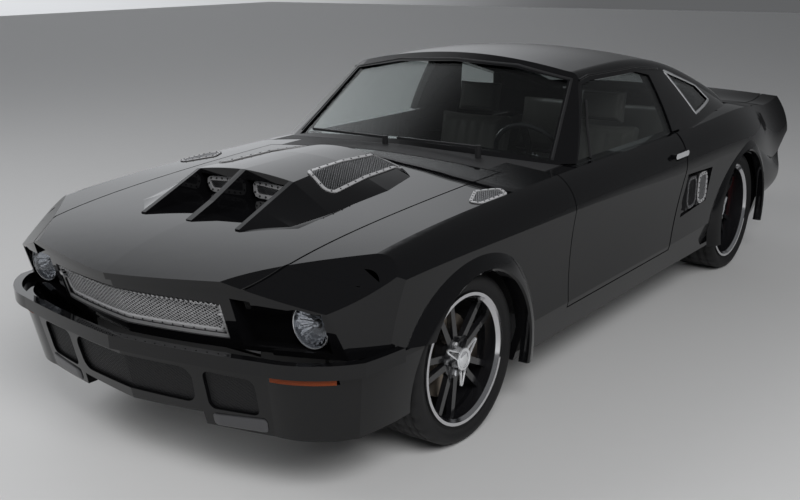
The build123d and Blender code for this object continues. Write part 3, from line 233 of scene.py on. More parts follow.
class Wheel(NamedTuple):
    """Corner of the car, hub X, middle Y, tyre radius and width, rim radius, depth of hub in lip."""

    corner: str
    x: float
    y: float
    radius: float
    width: float
    rim: float
    dish: float

    @property
    def out(self):
        """Sign of the outward way along Y."""
        return 1 if self.y > 0 else -1

    @property
    def lip(self):
        """Distance of the tyre's outer face from the car's middle."""
        return abs(self.y) + self.width / 2

    @property
    def hub(self):
        """Distance of the hub's face from the car's middle."""
        return self.lip - RIM_LIP - self.dish


WHEELS = (
    Wheel("front_left", 1.430, 0.732, 0.322, 0.235, 0.240, 0.044),
    Wheel("front_right", 1.430, -0.732, 0.322, 0.235, 0.240, 0.044),
    Wheel("rear_left", -1.313, 0.717, 0.332, 0.275, 0.254, 0.088),
    Wheel("rear_right", -1.313, -0.717, 0.332, 0.275, 0.254, 0.088),
)


def node_tree(name):
    """New empty node material and its tree."""
    material = bpy.data.materials.new(name)
    material.use_nodes = True
    tree = material.node_tree
    tree.nodes.clear()
    return material, tree


def finish_tree(tree, shader):
    """Join a shader to the material's output."""
    output = tree.nodes.new("ShaderNodeOutputMaterial")
    tree.links.new(shader.outputs[0], output.inputs["Surface"])


def surface(
    name,
    color,
    roughness,
    metallic=0.0,
    coat=0.0,
    grain=400.0,
    bump=0.02,
    vary=0.08,
    transmission=0.0,
    sheen=0.0,
    specular=0.5,
):
    """Material whose colour, roughness and relief vary with fine noise."""
    material, tree = node_tree(name)
    link = tree.links.new
    place = tree.nodes.new("ShaderNodeTexCoord")
    noise = tree.nodes.new("ShaderNodeTexNoise")
    noise.inputs["Scale"].default_value = grain
    noise.inputs["Detail"].default_value = GRAIN_DETAIL
    link(place.outputs["Object"], noise.inputs["Vector"])
    tint = tree.nodes.new("ShaderNodeMixRGB")
    tint.inputs["Color1"].default_value = tuple(c * (1.0 - vary) for c in color) + (1.0,)
    tint.inputs["Color2"].default_value = tuple(min(1.0, c * (1.0 + vary)) for c in color) + (1.0,)
    link(noise.outputs["Fac"], tint.inputs["Fac"])
    rough = tree.nodes.new("ShaderNodeMapRange")
    rough.inputs["To Min"].default_value = roughness * (1.0 - vary)
    rough.inputs["To Max"].default_value = roughness * (1.0 + vary)
    link(noise.outputs["Fac"], rough.inputs["Value"])
    relief = tree.nodes.new("ShaderNodeBump")
    relief.inputs["Strength"].default_value = bump
    relief.inputs["Distance"].default_value = GRAIN_DEPTH
    link(noise.outputs["Fac"], relief.inputs["Height"])
    shader = tree.nodes.new("ShaderNodeBsdfPrincipled")
    shader.inputs["Metallic"].default_value = metallic
    shader.inputs["Coat Weight"].default_value = coat
    shader.inputs["Coat IOR"].default_value = COAT_IOR
    shader.inputs["Coat Roughness"].default_value = COAT_ROUGHNESS
    shader.inputs["Transmission Weight"].default_value = transmission
    shader.inputs["IOR"].default_value = BASE_IOR
    shader.inputs["Sheen Weight"].default_value = sheen
    shader.inputs["Specular IOR Level"].default_value = specular
    link(tint.outputs["Color"], shader.inputs["Base Color"])
    link(rough.outputs["Result"], shader.inputs["Roughness"])
    link(relief.outputs["Normal"], shader.inputs["Normal"])
    finish_tree(tree, shader)
    return material


def clear_glass(name, tint):
    """Thin tinted pane: see-through, with a mirror that grows with the slant and a faint unevenness."""
    material, tree = node_tree(name)
    link = tree.links.new
    place = tree.nodes.new("ShaderNodeTexCoord")
    noise = tree.nodes.new("ShaderNodeTexNoise")
    noise.inputs["Scale"].default_value = HAZE_SCALE
    link(place.outputs["Object"], noise.inputs["Vector"])
    shade = tree.nodes.new("ShaderNodeMixRGB")
    shade.inputs["Color1"].default_value = tint + (1.0,)
    shade.inputs["Color2"].default_value = tuple(c * HAZE_SHARE for c in tint) + (1.0,)
    link(noise.outputs["Fac"], shade.inputs["Fac"])
    through = tree.nodes.new("ShaderNodeBsdfTransparent")
    link(shade.outputs["Color"], through.inputs["Color"])
    gloss = tree.nodes.new("ShaderNodeBsdfGlossy")
    gloss.inputs["Roughness"].default_value = 0.0
    slant = tree.nodes.new("ShaderNodeLayerWeight")
    slant.inputs["Blend"].default_value = SLANT_BLEND
    rise = tree.nodes.new("ShaderNodeMath")
    rise.operation = "POWER"
    rise.inputs[1].default_value = SLANT_POWER
    link(slant.outputs["Facing"], rise.inputs[0])
    share = tree.nodes.new("ShaderNodeMath")
    share.operation = "MULTIPLY_ADD"
    share.inputs[1].default_value = 1.0 - GLASS_MIRROR
    share.inputs[2].default_value = GLASS_MIRROR
    link(rise.outputs["Value"], share.inputs[0])
    mix = tree.nodes.new("ShaderNodeMixShader")
    link(share.outputs["Value"], mix.inputs["Fac"])
    link(through.outputs[0], mix.inputs[1])
    link(gloss.outputs[0], mix.inputs[2])
    finish_tree(tree, mix)
    return material


PAINT = surface(
    "gloss_black_paint", (0.0035, 0.0035, 0.004), 0.3, coat=1.0, grain=900.0, bump=0.004, specular=0.0
)
UNDERBODY = surface("satin_underbody", (0.02, 0.02, 0.021), 0.6, grain=250.0, bump=0.15)
GLASS = clear_glass("window_glass", (0.90, 0.925, 0.92))
LENS = clear_glass("lamp_glass", (0.9, 0.92, 0.95))
RED_LENS = surface("red_lens", (0.35, 0.008, 0.008), 0.15, coat=1.0, grain=300.0, transmission=0.3)
POLISHED = surface("polished_alloy", (0.8, 0.8, 0.82), 0.14, metallic=1.0, grain=300.0, bump=0.02)
# Chrome plate, a quarter of it diffuse: its pale colour lit by the soft boxes is a painted sheen that
# takes the place of their reflections, which mirrors don't see
CHROME_WITH_PAINTED_SHEEN = surface("chrome_plate_painted_sheen", (0.85, 0.86, 0.88), 0.05, metallic=0.75, grain=120.0, bump=0.004)
DARK_TRIM = surface("satin_trim", (0.015, 0.015, 0.016), 0.5, grain=600.0, bump=0.08)
RUBBER = surface("tyre_rubber", (0.009, 0.009, 0.0095), 0.7, grain=700.0, bump=0.18)
LEATHER = surface("dark_leather", (0.045, 0.043, 0.041), 0.42, grain=900.0, bump=0.35, sheen=0.1)
STEEL = surface("satin_steel", (0.45, 0.45, 0.46), 0.35, metallic=1.0, grain=200.0, bump=0.05)
IRON = surface("black_casting", (0.03, 0.03, 0.031), 0.6, metallic=0.4, grain=350.0, bump=0.3)
DISC_METAL = surface("brake_disc", (0.34, 0.29, 0.24), 0.3, metallic=1.0, grain=60.0, bump=0.05)
CALIPER_RED = surface("red_caliper", (0.5, 0.015, 0.012), 0.35, coat=0.6, grain=400.0, bump=0.05)
WHEEL_BLACK = surface("wheel_black", (0.008, 0.008, 0.009), 0.22, coat=1.0, grain=700.0, bump=0.01)
DARK_WIRE = surface("dark_wire", (0.03, 0.03, 0.032), 0.4, metallic=0.8, grain=500.0, bump=0.05)
GREY_WIRE = surface("grey_wire", (0.5, 0.5, 0.51), 0.3, metallic=1.0, grain=500.0, bump=0.05)
AMBER_LENS = surface("amber_lens", (0.27, 0.045, 0.003), 0.35, grain=300.0, bump=0.02, specular=0.25)
SATIN_WIRE = surface("satin_wire", (0.52, 0.52, 0.53), 0.5, metallic=0.4, grain=500.0, bump=0.05)
BRIGHT_TRIM = surface("brushed_trim", (0.58, 0.58, 0.59), 0.42, metallic=0.5, grain=260.0, bump=0.04)
SATIN_PLATE = surface("satin_plate", (0.10, 0.10, 0.105), 0.3, metallic=0.7, grain=350.0, bump=0.03)
REFLECTOR = surface("lamp_reflector", (0.55, 0.56, 0.58), 0.16, metallic=1.0, grain=200.0, bump=0.03)

SLOT_LOOKS = {
    "paint": PAINT,
    "underbody": UNDERBODY,
    "glass": GLASS,
    "lamp_lens": LENS,
    "tail_lens": RED_LENS,
    "screen": DARK_TRIM,
    "trim": DARK_TRIM,
    "leather": LEATHER,
    "steel": STEEL,
    "iron": IRON,
    "chassis_iron": IRON,
    "tyre": RUBBER,
    "wheel_alloy": WHEEL_BLACK,
}
for entry in frame["record"]["subparts"]:
    mesh = NODES[entry["node"]].data
    mesh.materials.clear()
    mesh.materials.append(SLOT_LOOKS[entry["material_slot"]])

# Views onto the car: where a ray for a point of the view starts, and its way
RAYS = {
    "front": (lambda p: (AHEAD_X, p[0], p[1]), (-1, 0, 0)),
    "left": (lambda p: (p[0], BESIDE_Y, p[1]), (0, -1, 0)),
    "right": (lambda p: (p[0], -BESIDE_Y, p[1]), (0, 1, 0)),
    "top": (lambda p: (p[0], p[1], ABOVE_Z), (0, 0, -1)),
}


def piece(name, bm, materials, body):
    """Object from a built mesh, which rides on a body."""
    mesh = bpy.data.meshes.new(name)
    bmesh.ops.recalc_face_normals(bm, faces=bm.faces)
    bm.to_mesh(mesh)
    bm.free()
    for material in materials:
        mesh.materials.append(material)
    obj = bpy.data.objects.new(name, mesh)
    bpy.context.scene.collection.objects.link(obj)
    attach(obj, body)
    return obj


def hit(node, start, toward):
    """Point and outward normal where a ray meets a node, or None."""
    found, at, normal, _ = NODES[node].ray_cast(Vector(start), Vector(toward).normalized())
    if not found:
        return None
    if normal.dot(Vector(toward)) > 0:
        normal = -normal
    return at.copy(), normal.copy()


def laid(node, view, points, step, shift, lift):
    """Places and normals at about an even step along a path on a face, lifted off it."""
    start, toward = RAYS[view]
    places = []
    for one, two in zip(points, points[1:]):
        one = Vector(one)
        two = Vector(two)
        steps = max(1, round((two - one).length / step))
        for k in range(steps):
            found = hit(node, start(one.lerp(two, (k + shift) / steps)), toward)
            if found:
                places.append((found[0] + found[1] * lift, found[1]))
    return places


def skin(bm, one, two, material=0, smooth=True):
    """Quads between two rings of points."""
    count = len(one)
    for k in range(count):
        beside = (k + 1) % count
        face = bm.faces.new((one[k], one[beside], two[beside], two[k]))
        face.material_index = material
        face.smooth = smooth


def cap_ends(bm, rings, material=0):
    """Flat faces on the first and the last ring."""
    for ring in (rings[0], rings[-1]):
        bm.faces.new(ring).material_index = material


def tube(bm, places, radius, flat, sides, closed=False, material=0):
    """Bar along places and their normals, round or flattened towards the surface it lies on."""
    rings = []
    count = len(places)
    for i, (point, normal) in enumerate(places):
        before = places[i - 1][0] if closed or i > 0 else point
        after = places[(i + 1) % count][0] if closed or i < count - 1 else point
        along = (after - before).normalized()
        side = along.cross(normal).normalized()
        lift = side.cross(along).normalized()
        ring = []
        for k in range(sides):
            turn = 2 * math.pi * (k + 0.5) / sides
            out = side * radius * math.cos(turn) + lift * radius * flat * math.sin(turn)
            ring.append(bm.verts.new(point + out))
        rings.append(ring)
    for one, two in zip(rings, rings[1:]):
        skin(bm, one, two, material, sides > WIRE_SIDES)
    if closed:
        skin(bm, rings[-1], rings[0], material, sides > WIRE_SIDES)
    else:
        cap_ends(bm, rings, material)


def rivet(bm, at, normal, radius, tall, material=0):
    """Low domed rivet head on a surface."""
    turn = normal.to_track_quat("Z", "Y").to_matrix()
    rings = []
    for level, share in RIVET_RINGS:
        ring = []
        for k in range(RIVET_SIDES):
            angle = 2 * math.pi * k / RIVET_SIDES
            reach = radius * share
            local = Vector((reach * math.cos(angle), reach * math.sin(angle), tall * level))
            ring.append(bm.verts.new(at + turn @ local))
        rings.append(ring)
    for one, two in zip(rings, rings[1:]):
        skin(bm, one, two, material)
    cap_ends(bm, rings, material)


def lathe(bm, profile, axis_at, axis, sides=64, material=0, closed=False, wave=None):
    """Turn (along, radius) pairs about an axis; wave changes a radius by row and step of the turn."""
    turn = Vector(axis).to_track_quat("Z", "Y").to_matrix()
    rings = []
    for i, (along, radius) in enumerate(profile):
        ring = []
        for k in range(sides):
            angle = 2 * math.pi * k / sides
            r = wave(i, k, radius) if wave else radius
            local = Vector((r * math.cos(angle), r * math.sin(angle), along))
            ring.append(bm.verts.new(Vector(axis_at) + turn @ local))
        rings.append(ring)
    for one, two in zip(rings, rings[1:]):
        skin(bm, one, two, material)
    if closed:
        skin(bm, rings[-1], rings[0], material)
    else:
        cap_ends(bm, rings, material)


def rounded(corners, radius, steps=5):
    """Outline of a convex polygon with rounded corners, as 2-D points."""
    outline = []
    count = len(corners)
    for i, corner in enumerate(corners):
        corner = Vector(corner)
        back = (Vector(corners[i - 1]) - corner).normalized()
        ahead = (Vector(corners[(i + 1) % count]) - corner).normalized()
        half = back.angle(ahead) / 2
        reach = radius / math.tan(half)
        centre = corner + (back + ahead).normalized() * radius / math.sin(half)
        one = corner + back * reach - centre
        two = corner + ahead * reach - centre
        for k in range(steps + 1):
            outline.append(centre + one.lerp(two, k / steps).normalized() * radius)
    return outline


def clip(outline, origin, along):
    """Where an endless line runs inside a convex outline: its two end distances, or None."""
    low = -math.inf
    high = math.inf
    count = len(outline)
    area = sum(outline[i - 1].cross(outline[i]) for i in range(count))
    for i in range(count):
        edge = outline[(i + 1) % count] - outline[i]
        inward = Vector((-edge.y, edge.x)) if area > 0 else Vector((edge.y, -edge.x))
        speed = along.dot(inward)
        depth = (origin - outline[i]).dot(inward)
        if abs(speed) < TINY:
            if depth < 0:
                return None
        elif speed > 0:
            low = max(low, -depth / speed)
        else:
            high = min(high, -depth / speed)
    return (low, high) if high > low else None


def loop_points(outline, step):
    """Points along a closed outline at about an even spacing."""
    count = len(outline)
    lengths = [(outline[(i + 1) % count] - outline[i]).length for i in range(count)]
    total = sum(lengths)
    number = round(total / step)
    points = []
    i = 0
    walked = 0.0
    for k in range(number):
        goal = total * k / number
        while walked + lengths[i] < goal:
            walked += lengths[i]
            i += 1
        share = (goal - walked) / lengths[i]
        points.append(outline[i].lerp(outline[(i + 1) % count], share))
    return points


def screen(
    name,
    node,
    view,
    corners,
    body,
    pitch,
    wire,
    looks,
    corner,
    border=0.0,
    rivets=0.0,
    slant=1.5,
    plane_x=None,
):
    """Woven wire screen in a rounded outline, on a face or at one X, bare or with a riveted border."""
    start, toward = RAYS[view]
    outline = rounded(corners, corner)

    def seat(point, lift):
        if plane_x:
            return Vector((plane_x + lift, point[0], point[1])), Vector((1, 0, 0))
        found = hit(node, start(point), toward)
        return (found[0] + found[1] * lift, found[1]) if found else None

    bm = bmesh.new()
    middle = sum(outline, Vector((0, 0))) / len(outline)
    reach = max((p - middle).length for p in outline)
    rows = math.ceil(reach / pitch)
    for way in (-1, 1):
        along = Vector((slant, way)).normalized()
        across = Vector((-along.y, along.x))
        for row in range(-rows, rows):
            origin = middle + across * row * pitch
            span = clip(outline, origin, along)
            if not span or span[1] - span[0] < pitch:
                continue
            length = span[1] - span[0]
            steps = max(2, round(length / pitch * WIRE_BENDS))
            run = []
            for k in range(steps + 1):
                point = origin + along * (span[0] + length * k / steps)
                over = WEAVE * wire * way * (-1 if (k + row) % 2 else 1)
                run.append(seat(point, SCREEN_RISE + wire * WIRE_LIFT + over))
            run = [place for place in run if place]
            if len(run) > 2:
                tube(bm, run, wire, WIRE_FLAT, WIRE_SIDES)
    if border:
        rise = SCREEN_RISE + wire * BORDER_LIFT
        ring = [seat(p, rise) for p in loop_points(outline, BORDER_STEP)]
        ring = [place for place in ring if place]
        tube(bm, ring, border * BORDER_HALF, BORDER_FLAT, WIRE_SIDES, closed=True, material=1)
        for point in loop_points(outline, rivets):
            found = seat(point, rise + border * RIVET_LIFT)
            if found:
                rivet(bm, *found, border * RIVET_SHARE, border * RIVET_TALL, material=2)
    piece(name, bm, looks, body)


def build_screens():
    """All the wire screens of the nose, the scoop, the fenders and the quarters."""
    bright = [SATIN_WIRE, BRIGHT_TRIM, DARK_TRIM]
    dark = [DARK_WIRE, PAINT, PAINT]
    grey = [GREY_WIRE, BRIGHT_TRIM, DARK_TRIM]
    dim = [DARK_WIRE, SATIN_PLATE, STEEL]
    grille = [(-0.400, 0.566), (0.400, 0.566), (0.402, 0.674), (-0.402, 0.674)]
    mouth = [(-0.285, 0.316), (0.285, 0.316), (0.297, 0.442), (-0.297, 0.442)]
    duct = [(0.344, 0.308), (0.528, 0.311), (0.532, 0.436), (0.347, 0.441)]
    inlet = [(0.043, 0.876), (0.187, 0.872), (0.211, 0.915), (0.040, 0.926)]
    flank = [(1.535, 0.205), (1.575, 0.340), (1.070, 0.290), (1.045, 0.180)]
    vent = [(1.150, 0.692), (1.060, 0.744), (1.100, 0.796), (1.262, 0.790), (1.276, 0.752)]
    louvre = [(0.056, 0.508), (0.050, 0.658), (-0.056, 0.654), (-0.050, 0.518)]
    screen(
        "upper_grille_screen", "grilles", "front", grille, "body", 0.0098, 0.0021, bright, 0.016,
        slant=1.6,
    )
    screen("mouth_screen", "grilles", "front", mouth, "body", 0.011, 0.0013, dark, 0.04)
    for side, flip in SIDES:
        corners = [(flip * y, z) for y, z in duct]
        screen("duct_screen_" + side, "grilles", "front", corners, "body", 0.011, 0.0013, dark, 0.022)
        corners = [(flip * y, z) for y, z in inlet]
        screen(
            "scoop_inlet_" + side, "hood_scoop", "front", corners, "hood", 0.0062, 0.0016, grey, 0.014,
            border=0.016, rivets=0.030, plane_x=INLET_X,
        )
        corners = [(x, flip * y) for x, y in flank]
        screen(
            "scoop_side_" + side, "hood_scoop", "top", corners, "hood", 0.0075, 0.0012, grey, 0.03,
            border=0.014, rivets=0.05,
        )
        corners = [(x, flip * y) for x, y in vent]
        screen(
            "fender_vent_" + side, "fender_" + side, "top", corners, "body", 0.0075, 0.0012, grey, 0.016,
            border=0.012, rivets=0.03,
        )
        for number, middle in enumerate(LOUVRE_X):
            corners = [(middle + x, z) for x, z in louvre]
            looks = grey if number else dim
            name = "louvre_%s_%d" % (side, number)
            screen(
                name, "side_vents", side, corners, "body", 0.0066, 0.0014, looks, 0.036,
                border=0.015, rivets=0.026,
            )


def build_headlamp(side, flip):
    """Round headlamp: domed lens, bright bezel, fluted bowl and bulb."""
    at = (0.0, flip * LAMP_Y, LAMP_Z)
    ahead = (1, 0, 0)
    bm = bmesh.new()
    lathe(bm, LAMP_LENS, at, ahead)
    lens = piece("headlamp_lens_" + side, bm, [LENS], "body")

    def flute(i, k, radius):
        sunk = 0 < i < len(LAMP_BOWL) - 1 and k % FLUTE_STEP < FLUTE_STEP / 2
        return radius * FLUTE_SHARE if sunk else radius

    bm = bmesh.new()
    lathe(bm, LAMP_BEZEL, at, ahead, closed=True)
    back = [(along - BOWL_BACK, radius + BOWL_WALL) for along, radius in reversed(LAMP_BOWL)]
    lathe(bm, [*LAMP_BOWL, *back], at, ahead, BOWL_SIDES, material=1, closed=True, wave=flute)
    lathe(bm, LAMP_BULB, at, ahead, BULB_SIDES)
    piece("headlamp_bowl_" + side, bm, [CHROME_WITH_PAINTED_SHEEN, REFLECTOR], "body")
    return lens


def build_signal(side, flip):
    """Slim amber signal lens with upright ribs, wrapped round the fascia corner."""
    bm = bmesh.new()
    inner, outer = SIGNAL_Y
    columns = []
    for i in range(SIGNAL_STEPS + 1):
        y = inner + (outer - inner) * i / SIGNAL_STEPS
        found = hit("front_lamps", (AHEAD_X, flip * y, SIGNAL_Z), (-1, 0, 0))
        if not found or found[0].x < SIGNAL_LEAST_X:
            continue
        at, normal = found
        rib = at + normal * (RIB_HIGH if i % 2 else RIB_LOW)
        column = [Vector((rib.x, rib.y, z)) + normal * deep for z, deep in SIGNAL_SECTION]
        columns.append([bm.verts.new(point) for point in column])
    for one, two in zip(columns, columns[1:]):
        skin(bm, one, two)
    cap_ends(bm, columns)
    return piece("signal_lens_" + side, bm, [AMBER_LENS], "body")


def build_lamps():
    """Headlamps and signals in place of the plain lamps."""
    lenses = []
    for side, flip in SIDES:
        lenses.append(build_headlamp(side, flip))
        lenses.append(build_signal(side, flip))
    for lens in lenses:
        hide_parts("front_lamps")


def build_tyre(wheel):
    """Tyre with grooved tread, notched ribs and moulded side walls."""
    half = wheel.width / 2
    bead = wheel.rim + BEAD_GAP
    radius = wheel.radius
    profile = [(half - inset, bead + tall) for inset, tall in WALL_FOOT]
    profile.append((half - WALL_MIDDLE, (bead + radius) / 2))
    profile += [(half - inset, radius - deep) for inset, deep in WALL_TOP]
    for share in GROOVES:
        middle = share * (half - TREAD_INSET)
        profile += [
            (middle + GROOVE_TOP, radius),
            (middle + GROOVE_FLOOR, radius - GROOVE_DEPTH),
            (middle - GROOVE_FLOOR, radius - GROOVE_DEPTH),
            (middle - GROOVE_TOP, radius),
        ]
    profile += [(-along, r) for along, r in reversed(profile)]

    def notch(i, k, r):
        shift = NOTCH_SHIFT if i > len(profile) / 2 else 0
        notched = r > radius - NOTCH_BAND and (k + shift) % NOTCH_STEP == 0
        return r - NOTCH_DEPTH if notched else r

    bm = bmesh.new()
    middle = (wheel.x, wheel.y, radius)
    lathe(bm, profile, middle, (0, wheel.out, 0), TYRE_SIDES, closed=True, wave=notch)
    obj = piece("tyre_%s_moulded" % wheel.corner, bm, [RUBBER], "wheel_" + wheel.corner)
    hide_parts("tyre_" + wheel.corner)


def paint_wheel(wheel):
    """Black spokes, polished lip, bright lugs and cap and a bare disc on one wheel."""
    mesh = NODES["wheel_" + wheel.corner].data
    mesh.materials.clear()
    for material in (WHEEL_BLACK, POLISHED, CHROME_WITH_PAINTED_SHEEN, DISC_METAL):
        mesh.materials.append(material)
    for polygon in mesh.polygons:
        at = polygon.center
        out = abs(at.y)
        r = math.hypot(at.x - wheel.x, at.z - wheel.radius)
        on_bar = out > wheel.hub + BAR_FOOT and r > BAR_INNER
        if r > wheel.rim - RIM_BAND and out > wheel.lip - RIM_LIP - RIM_BAND:
            polygon.material_index = 1
        elif out > wheel.hub + HUB_PROUD and r < HUB_REACH and not on_bar:
            polygon.material_index = 2
        elif out < wheel.hub - DISC_BEHIND and r < DISC_REACH:
            polygon.material_index = 3
        else:
            polygon.material_index = 0


def build_spinner(wheel):
    """Chrome knock-off spinner: three open tapered bars round a stepped, domed cap."""
    outward = Vector((0, wheel.out, 0))
    mirrored = [(along, -across) for along, across in reversed(SPINNER_OUTLINE)]
    bm = bmesh.new()
    for k in range(SPINNER_BARS):
        turn = SPINNER_TURN + 2 * math.pi * k / SPINNER_BARS
        rail = []
        for along, across in (*SPINNER_OUTLINE, SPINNER_TIP, *mirrored):
            x = along * math.cos(turn) - across * math.sin(turn)
            z = along * math.sin(turn) + across * math.cos(turn)
            lift = wheel.hub + SPINNER_LIFT - SPINNER_DROOP * (along - SPINNER_ROOT)
            rail.append((Vector((wheel.x + x, wheel.out * lift, wheel.radius + z)), outward))
        tube(bm, rail, SPINNER_WIRE, SPINNER_FLAT, BAR_SIDES)
    cap = [(wheel.hub + tall, radius) for tall, radius in SPINNER_CAP]
    lathe(bm, cap, (wheel.x, 0.0, wheel.radius), outward, CAP_SIDES)
    piece("spinner_" + wheel.corner, bm, [CHROME_WITH_PAINTED_SHEEN], "wheel_" + wheel.corner)


def padded_block(name, node, origin, along, up, size, channels, crown, bolster=0.0):
    """Stuffed leather pad: crowned top with sewn channels and raised side bolsters."""
    along = Vector(along).normalized()
    up = Vector(up).normalized()
    across = up.cross(along).normalized()
    length, width, thick = size
    bm = bmesh.new()
    bmesh.ops.create_cube(bm, size=1.0)
    bmesh.ops.subdivide_edges(bm, edges=bm.edges[:], cuts=PAD_CUTS, use_grid_fill=True)
    for vert in bm.verts:
        u, v, w = vert.co * 2
        edge = max(abs(u), abs(v))
        pull = 1.0
        if abs(v) > PAD_RIM:
            pull -= PAD_PULL * (1 - u * u)
        if abs(u) > PAD_RIM:
            pull -= PAD_PULL * (1 - v * v)
        pull *= 1.0 - PAD_ROUND * max(0.0, abs(w) - PAD_FLANK) / (1 - PAD_FLANK)
        drop = thick * PAD_DROP * max(0.0, (edge - PAD_DROP_FROM) / (1 - PAD_DROP_FROM)) ** 2
        tall = w * thick / 2
        if w > 0:
            tall += (crown * (1 - u**4) * (1 - v**4) - drop) * w
            if abs(v) < PAD_SEWN and abs(u) < PAD_RIM:
                sewn = abs(math.sin(math.pi * channels * (v + 1) / 2))
                tall -= SEAM_DEPTH * (1 - sewn**SEAM_POWER) * w
            raised = max(0.0, (abs(v) - PAD_SEWN) / (1 - PAD_SEWN))
            tall += bolster * raised * (1 - max(0.0, (edge - PAD_RIM) / (1 - PAD_RIM))) * w
        else:
            tall += drop * PAD_UNDER * abs(w)
        spread = along * (u * length / 2 * pull) + across * (v * width / 2 * pull)
        vert.co = Vector(origin) + spread + up * tall
    for face in bm.faces:
        face.smooth = True
    obj = piece(name, bm, [LEATHER], "body")
    soften = obj.modifiers.new("soft", "SUBSURF")
    soften.levels = 1
    soften.render_levels = 1
    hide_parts(node)


def build_seats():
    """Two bucket seats with head rests and the rear bench."""
    for side, flip in SIDES:
        y = flip * SEAT_Y
        padded_block(
            "seat_cushion_" + side, "front_seats", (-0.065, y, 0.325), (1, 0, 0.04), (-0.04, 0, 1),
            (0.52, 0.43, 0.125), 6, 0.012, bolster=0.022,
        )
        padded_block(
            "seat_back_" + side, "front_seats", (-0.462, y, 0.645), (-0.26, 0, 0.965), (0.965, 0, 0.26),
            (0.50, 0.43, 0.105), 6, 0.010, bolster=0.020,
        )
        padded_block(
            "head_rest_" + side, "front_seats", (-0.553, y, 0.978), (-0.2, 0, 0.98), (0.98, 0, 0.2),
            (0.155, 0.25, 0.062), 1, 0.006,
        )
    padded_block(
        "bench_cushion", "rear_seat", (-0.970, 0.0, 0.545), (1, 0, 0.03), (-0.03, 0, 1),
        (0.41, 1.0, 0.082), 14, 0.008,
    )
    padded_block(
        "bench_back", "rear_seat", (-1.212, 0.0, 0.742), (-0.41, 0, 0.91), (0.91, 0, 0.41),
        (0.32, 1.0, 0.085), 14, 0.006,
    )


def strip(name, node, view, points, body, radius, material, closed=False, flat=0.5, lift=0.0):
    """Trim moulding laid along a path on a face."""
    path = points + points[:1] if closed else points
    bm = bmesh.new()
    tube(bm, laid(node, view, path, STRIP_STEP, 0.0, lift), radius, flat, BAR_SIDES, closed)
    piece(name, bm, [material], body)


def rivet_row(name, node, view, points, pitch, radius, lift):
    """Row of dark rivet heads along a path on a face of the body."""
    bm = bmesh.new()
    for at, normal in laid(node, view, points, pitch, 0.5, lift):
        rivet(bm, at, normal, radius, radius * RIVET_ROUND)
    piece(name, bm, [DARK_TRIM], "body")


def grown(points, by):
    """Polygon with each corner moved away from its middle by a distance."""
    middle = sum((Vector(p) for p in points), Vector((0, 0))) / len(points)
    return [tuple(Vector(p) + (Vector(p) - middle).normalized() * by) for p in points]


def build_trim():
    """Window surrounds, drip rails, vent dividers, door handles and the grille's riveted frame."""
    half = [(0.702, 0.902), (0.600, 1.197), (0.330, 1.246)]
    shield = [*half, (0.0, 1.260), *((-y, z) for y, z in reversed(half))]
    strip("windshield_rubber", "roof", "front", shield, "body", 0.007, DARK_TRIM, flat=0.35)
    quarter = grown([(-0.702, 1.150), (-1.128, 1.036), (-1.204, 0.962), (-0.872, 0.938)], 0.014)
    rail = [(0.215, 1.192), (0.120, 1.205), (-0.340, 1.203), (-0.620, 1.172)]
    divider = [(0.390, 0.890), (0.319, 1.006), (0.218, 1.118)]
    for side, _ in SIDES:
        door = "door_" + side
        strip("quarter_frame_" + side, "roof", side, quarter, "body", 0.008, CHROME_WITH_PAINTED_SHEEN, closed=True)
        strip("drip_rail_" + side, "roof", side, rail, "body", 0.006, PAINT, flat=0.8)
        strip(
            "vent_divider_" + side, door + "_glass", side, divider, door, 0.008, DARK_TRIM,
            flat=0.6, lift=0.001,
        )
        mesh = NODES[door].data
        mesh.materials.append(CHROME_WITH_PAINTED_SHEEN)
        for polygon in mesh.polygons:
            at = polygon.center
            level = abs(at.z - HANDLE_AT[1]) < HANDLE_HALF[1]
            if level and abs(at.x - HANDLE_AT[0]) < HANDLE_HALF[0] and abs(at.y) > HANDLE_Y:
                polygon.material_index = 1
    end = [(0.376, 0.568), (0.398, 0.592), (0.402, 0.650)]
    low = [*((-y, z) for y, z in reversed(end)), *end]
    strip(
        "grille_frame", "grilles", "front", low, "body", 0.012, BRIGHT_TRIM,
        flat=0.3, lift=0.004,
    )
    rivet_row("grille_rivets", "grilles", "front", low, 0.042, 0.0036, 0.0068)
    mesh = NODES["grilles"].data
    mesh.materials.append(BRIGHT_TRIM)
    for polygon in mesh.polygons:
        at = polygon.center
        outside = abs(at.y) > GRILLE_SIDE_Y or at.z < GRILLE_FOOT_Z
        if at.z > GRILLE_LOW_Z and outside and polygon.normal.x > GRILLE_FACING:
            polygon.material_index = 1


def build_brakes():
    """Bronze-grey front calipers and red rear ones on their carriers."""
    front, rear = WHEELS[0], WHEELS[2]
    for node, wheel, material in (
        ("knuckle_left", front, DISC_METAL),
        ("knuckle_right", front, DISC_METAL),
        ("rear_axle", rear, CALIPER_RED),
    ):
        mesh = NODES[node].data
        mesh.materials.append(material)
        for polygon in mesh.polygons:
            at = polygon.center
            r = math.hypot(at.x - wheel.x, at.z - wheel.radius)
            in_ring = CALIPER_RING[0] < r < CALIPER_RING[1] and abs(at.x - wheel.x) > CALIPER_ASIDE
            if in_ring and abs(at.y) > CALIPER_Y and at.z > wheel.radius - CALIPER_DROP:
                polygon.material_index = 1


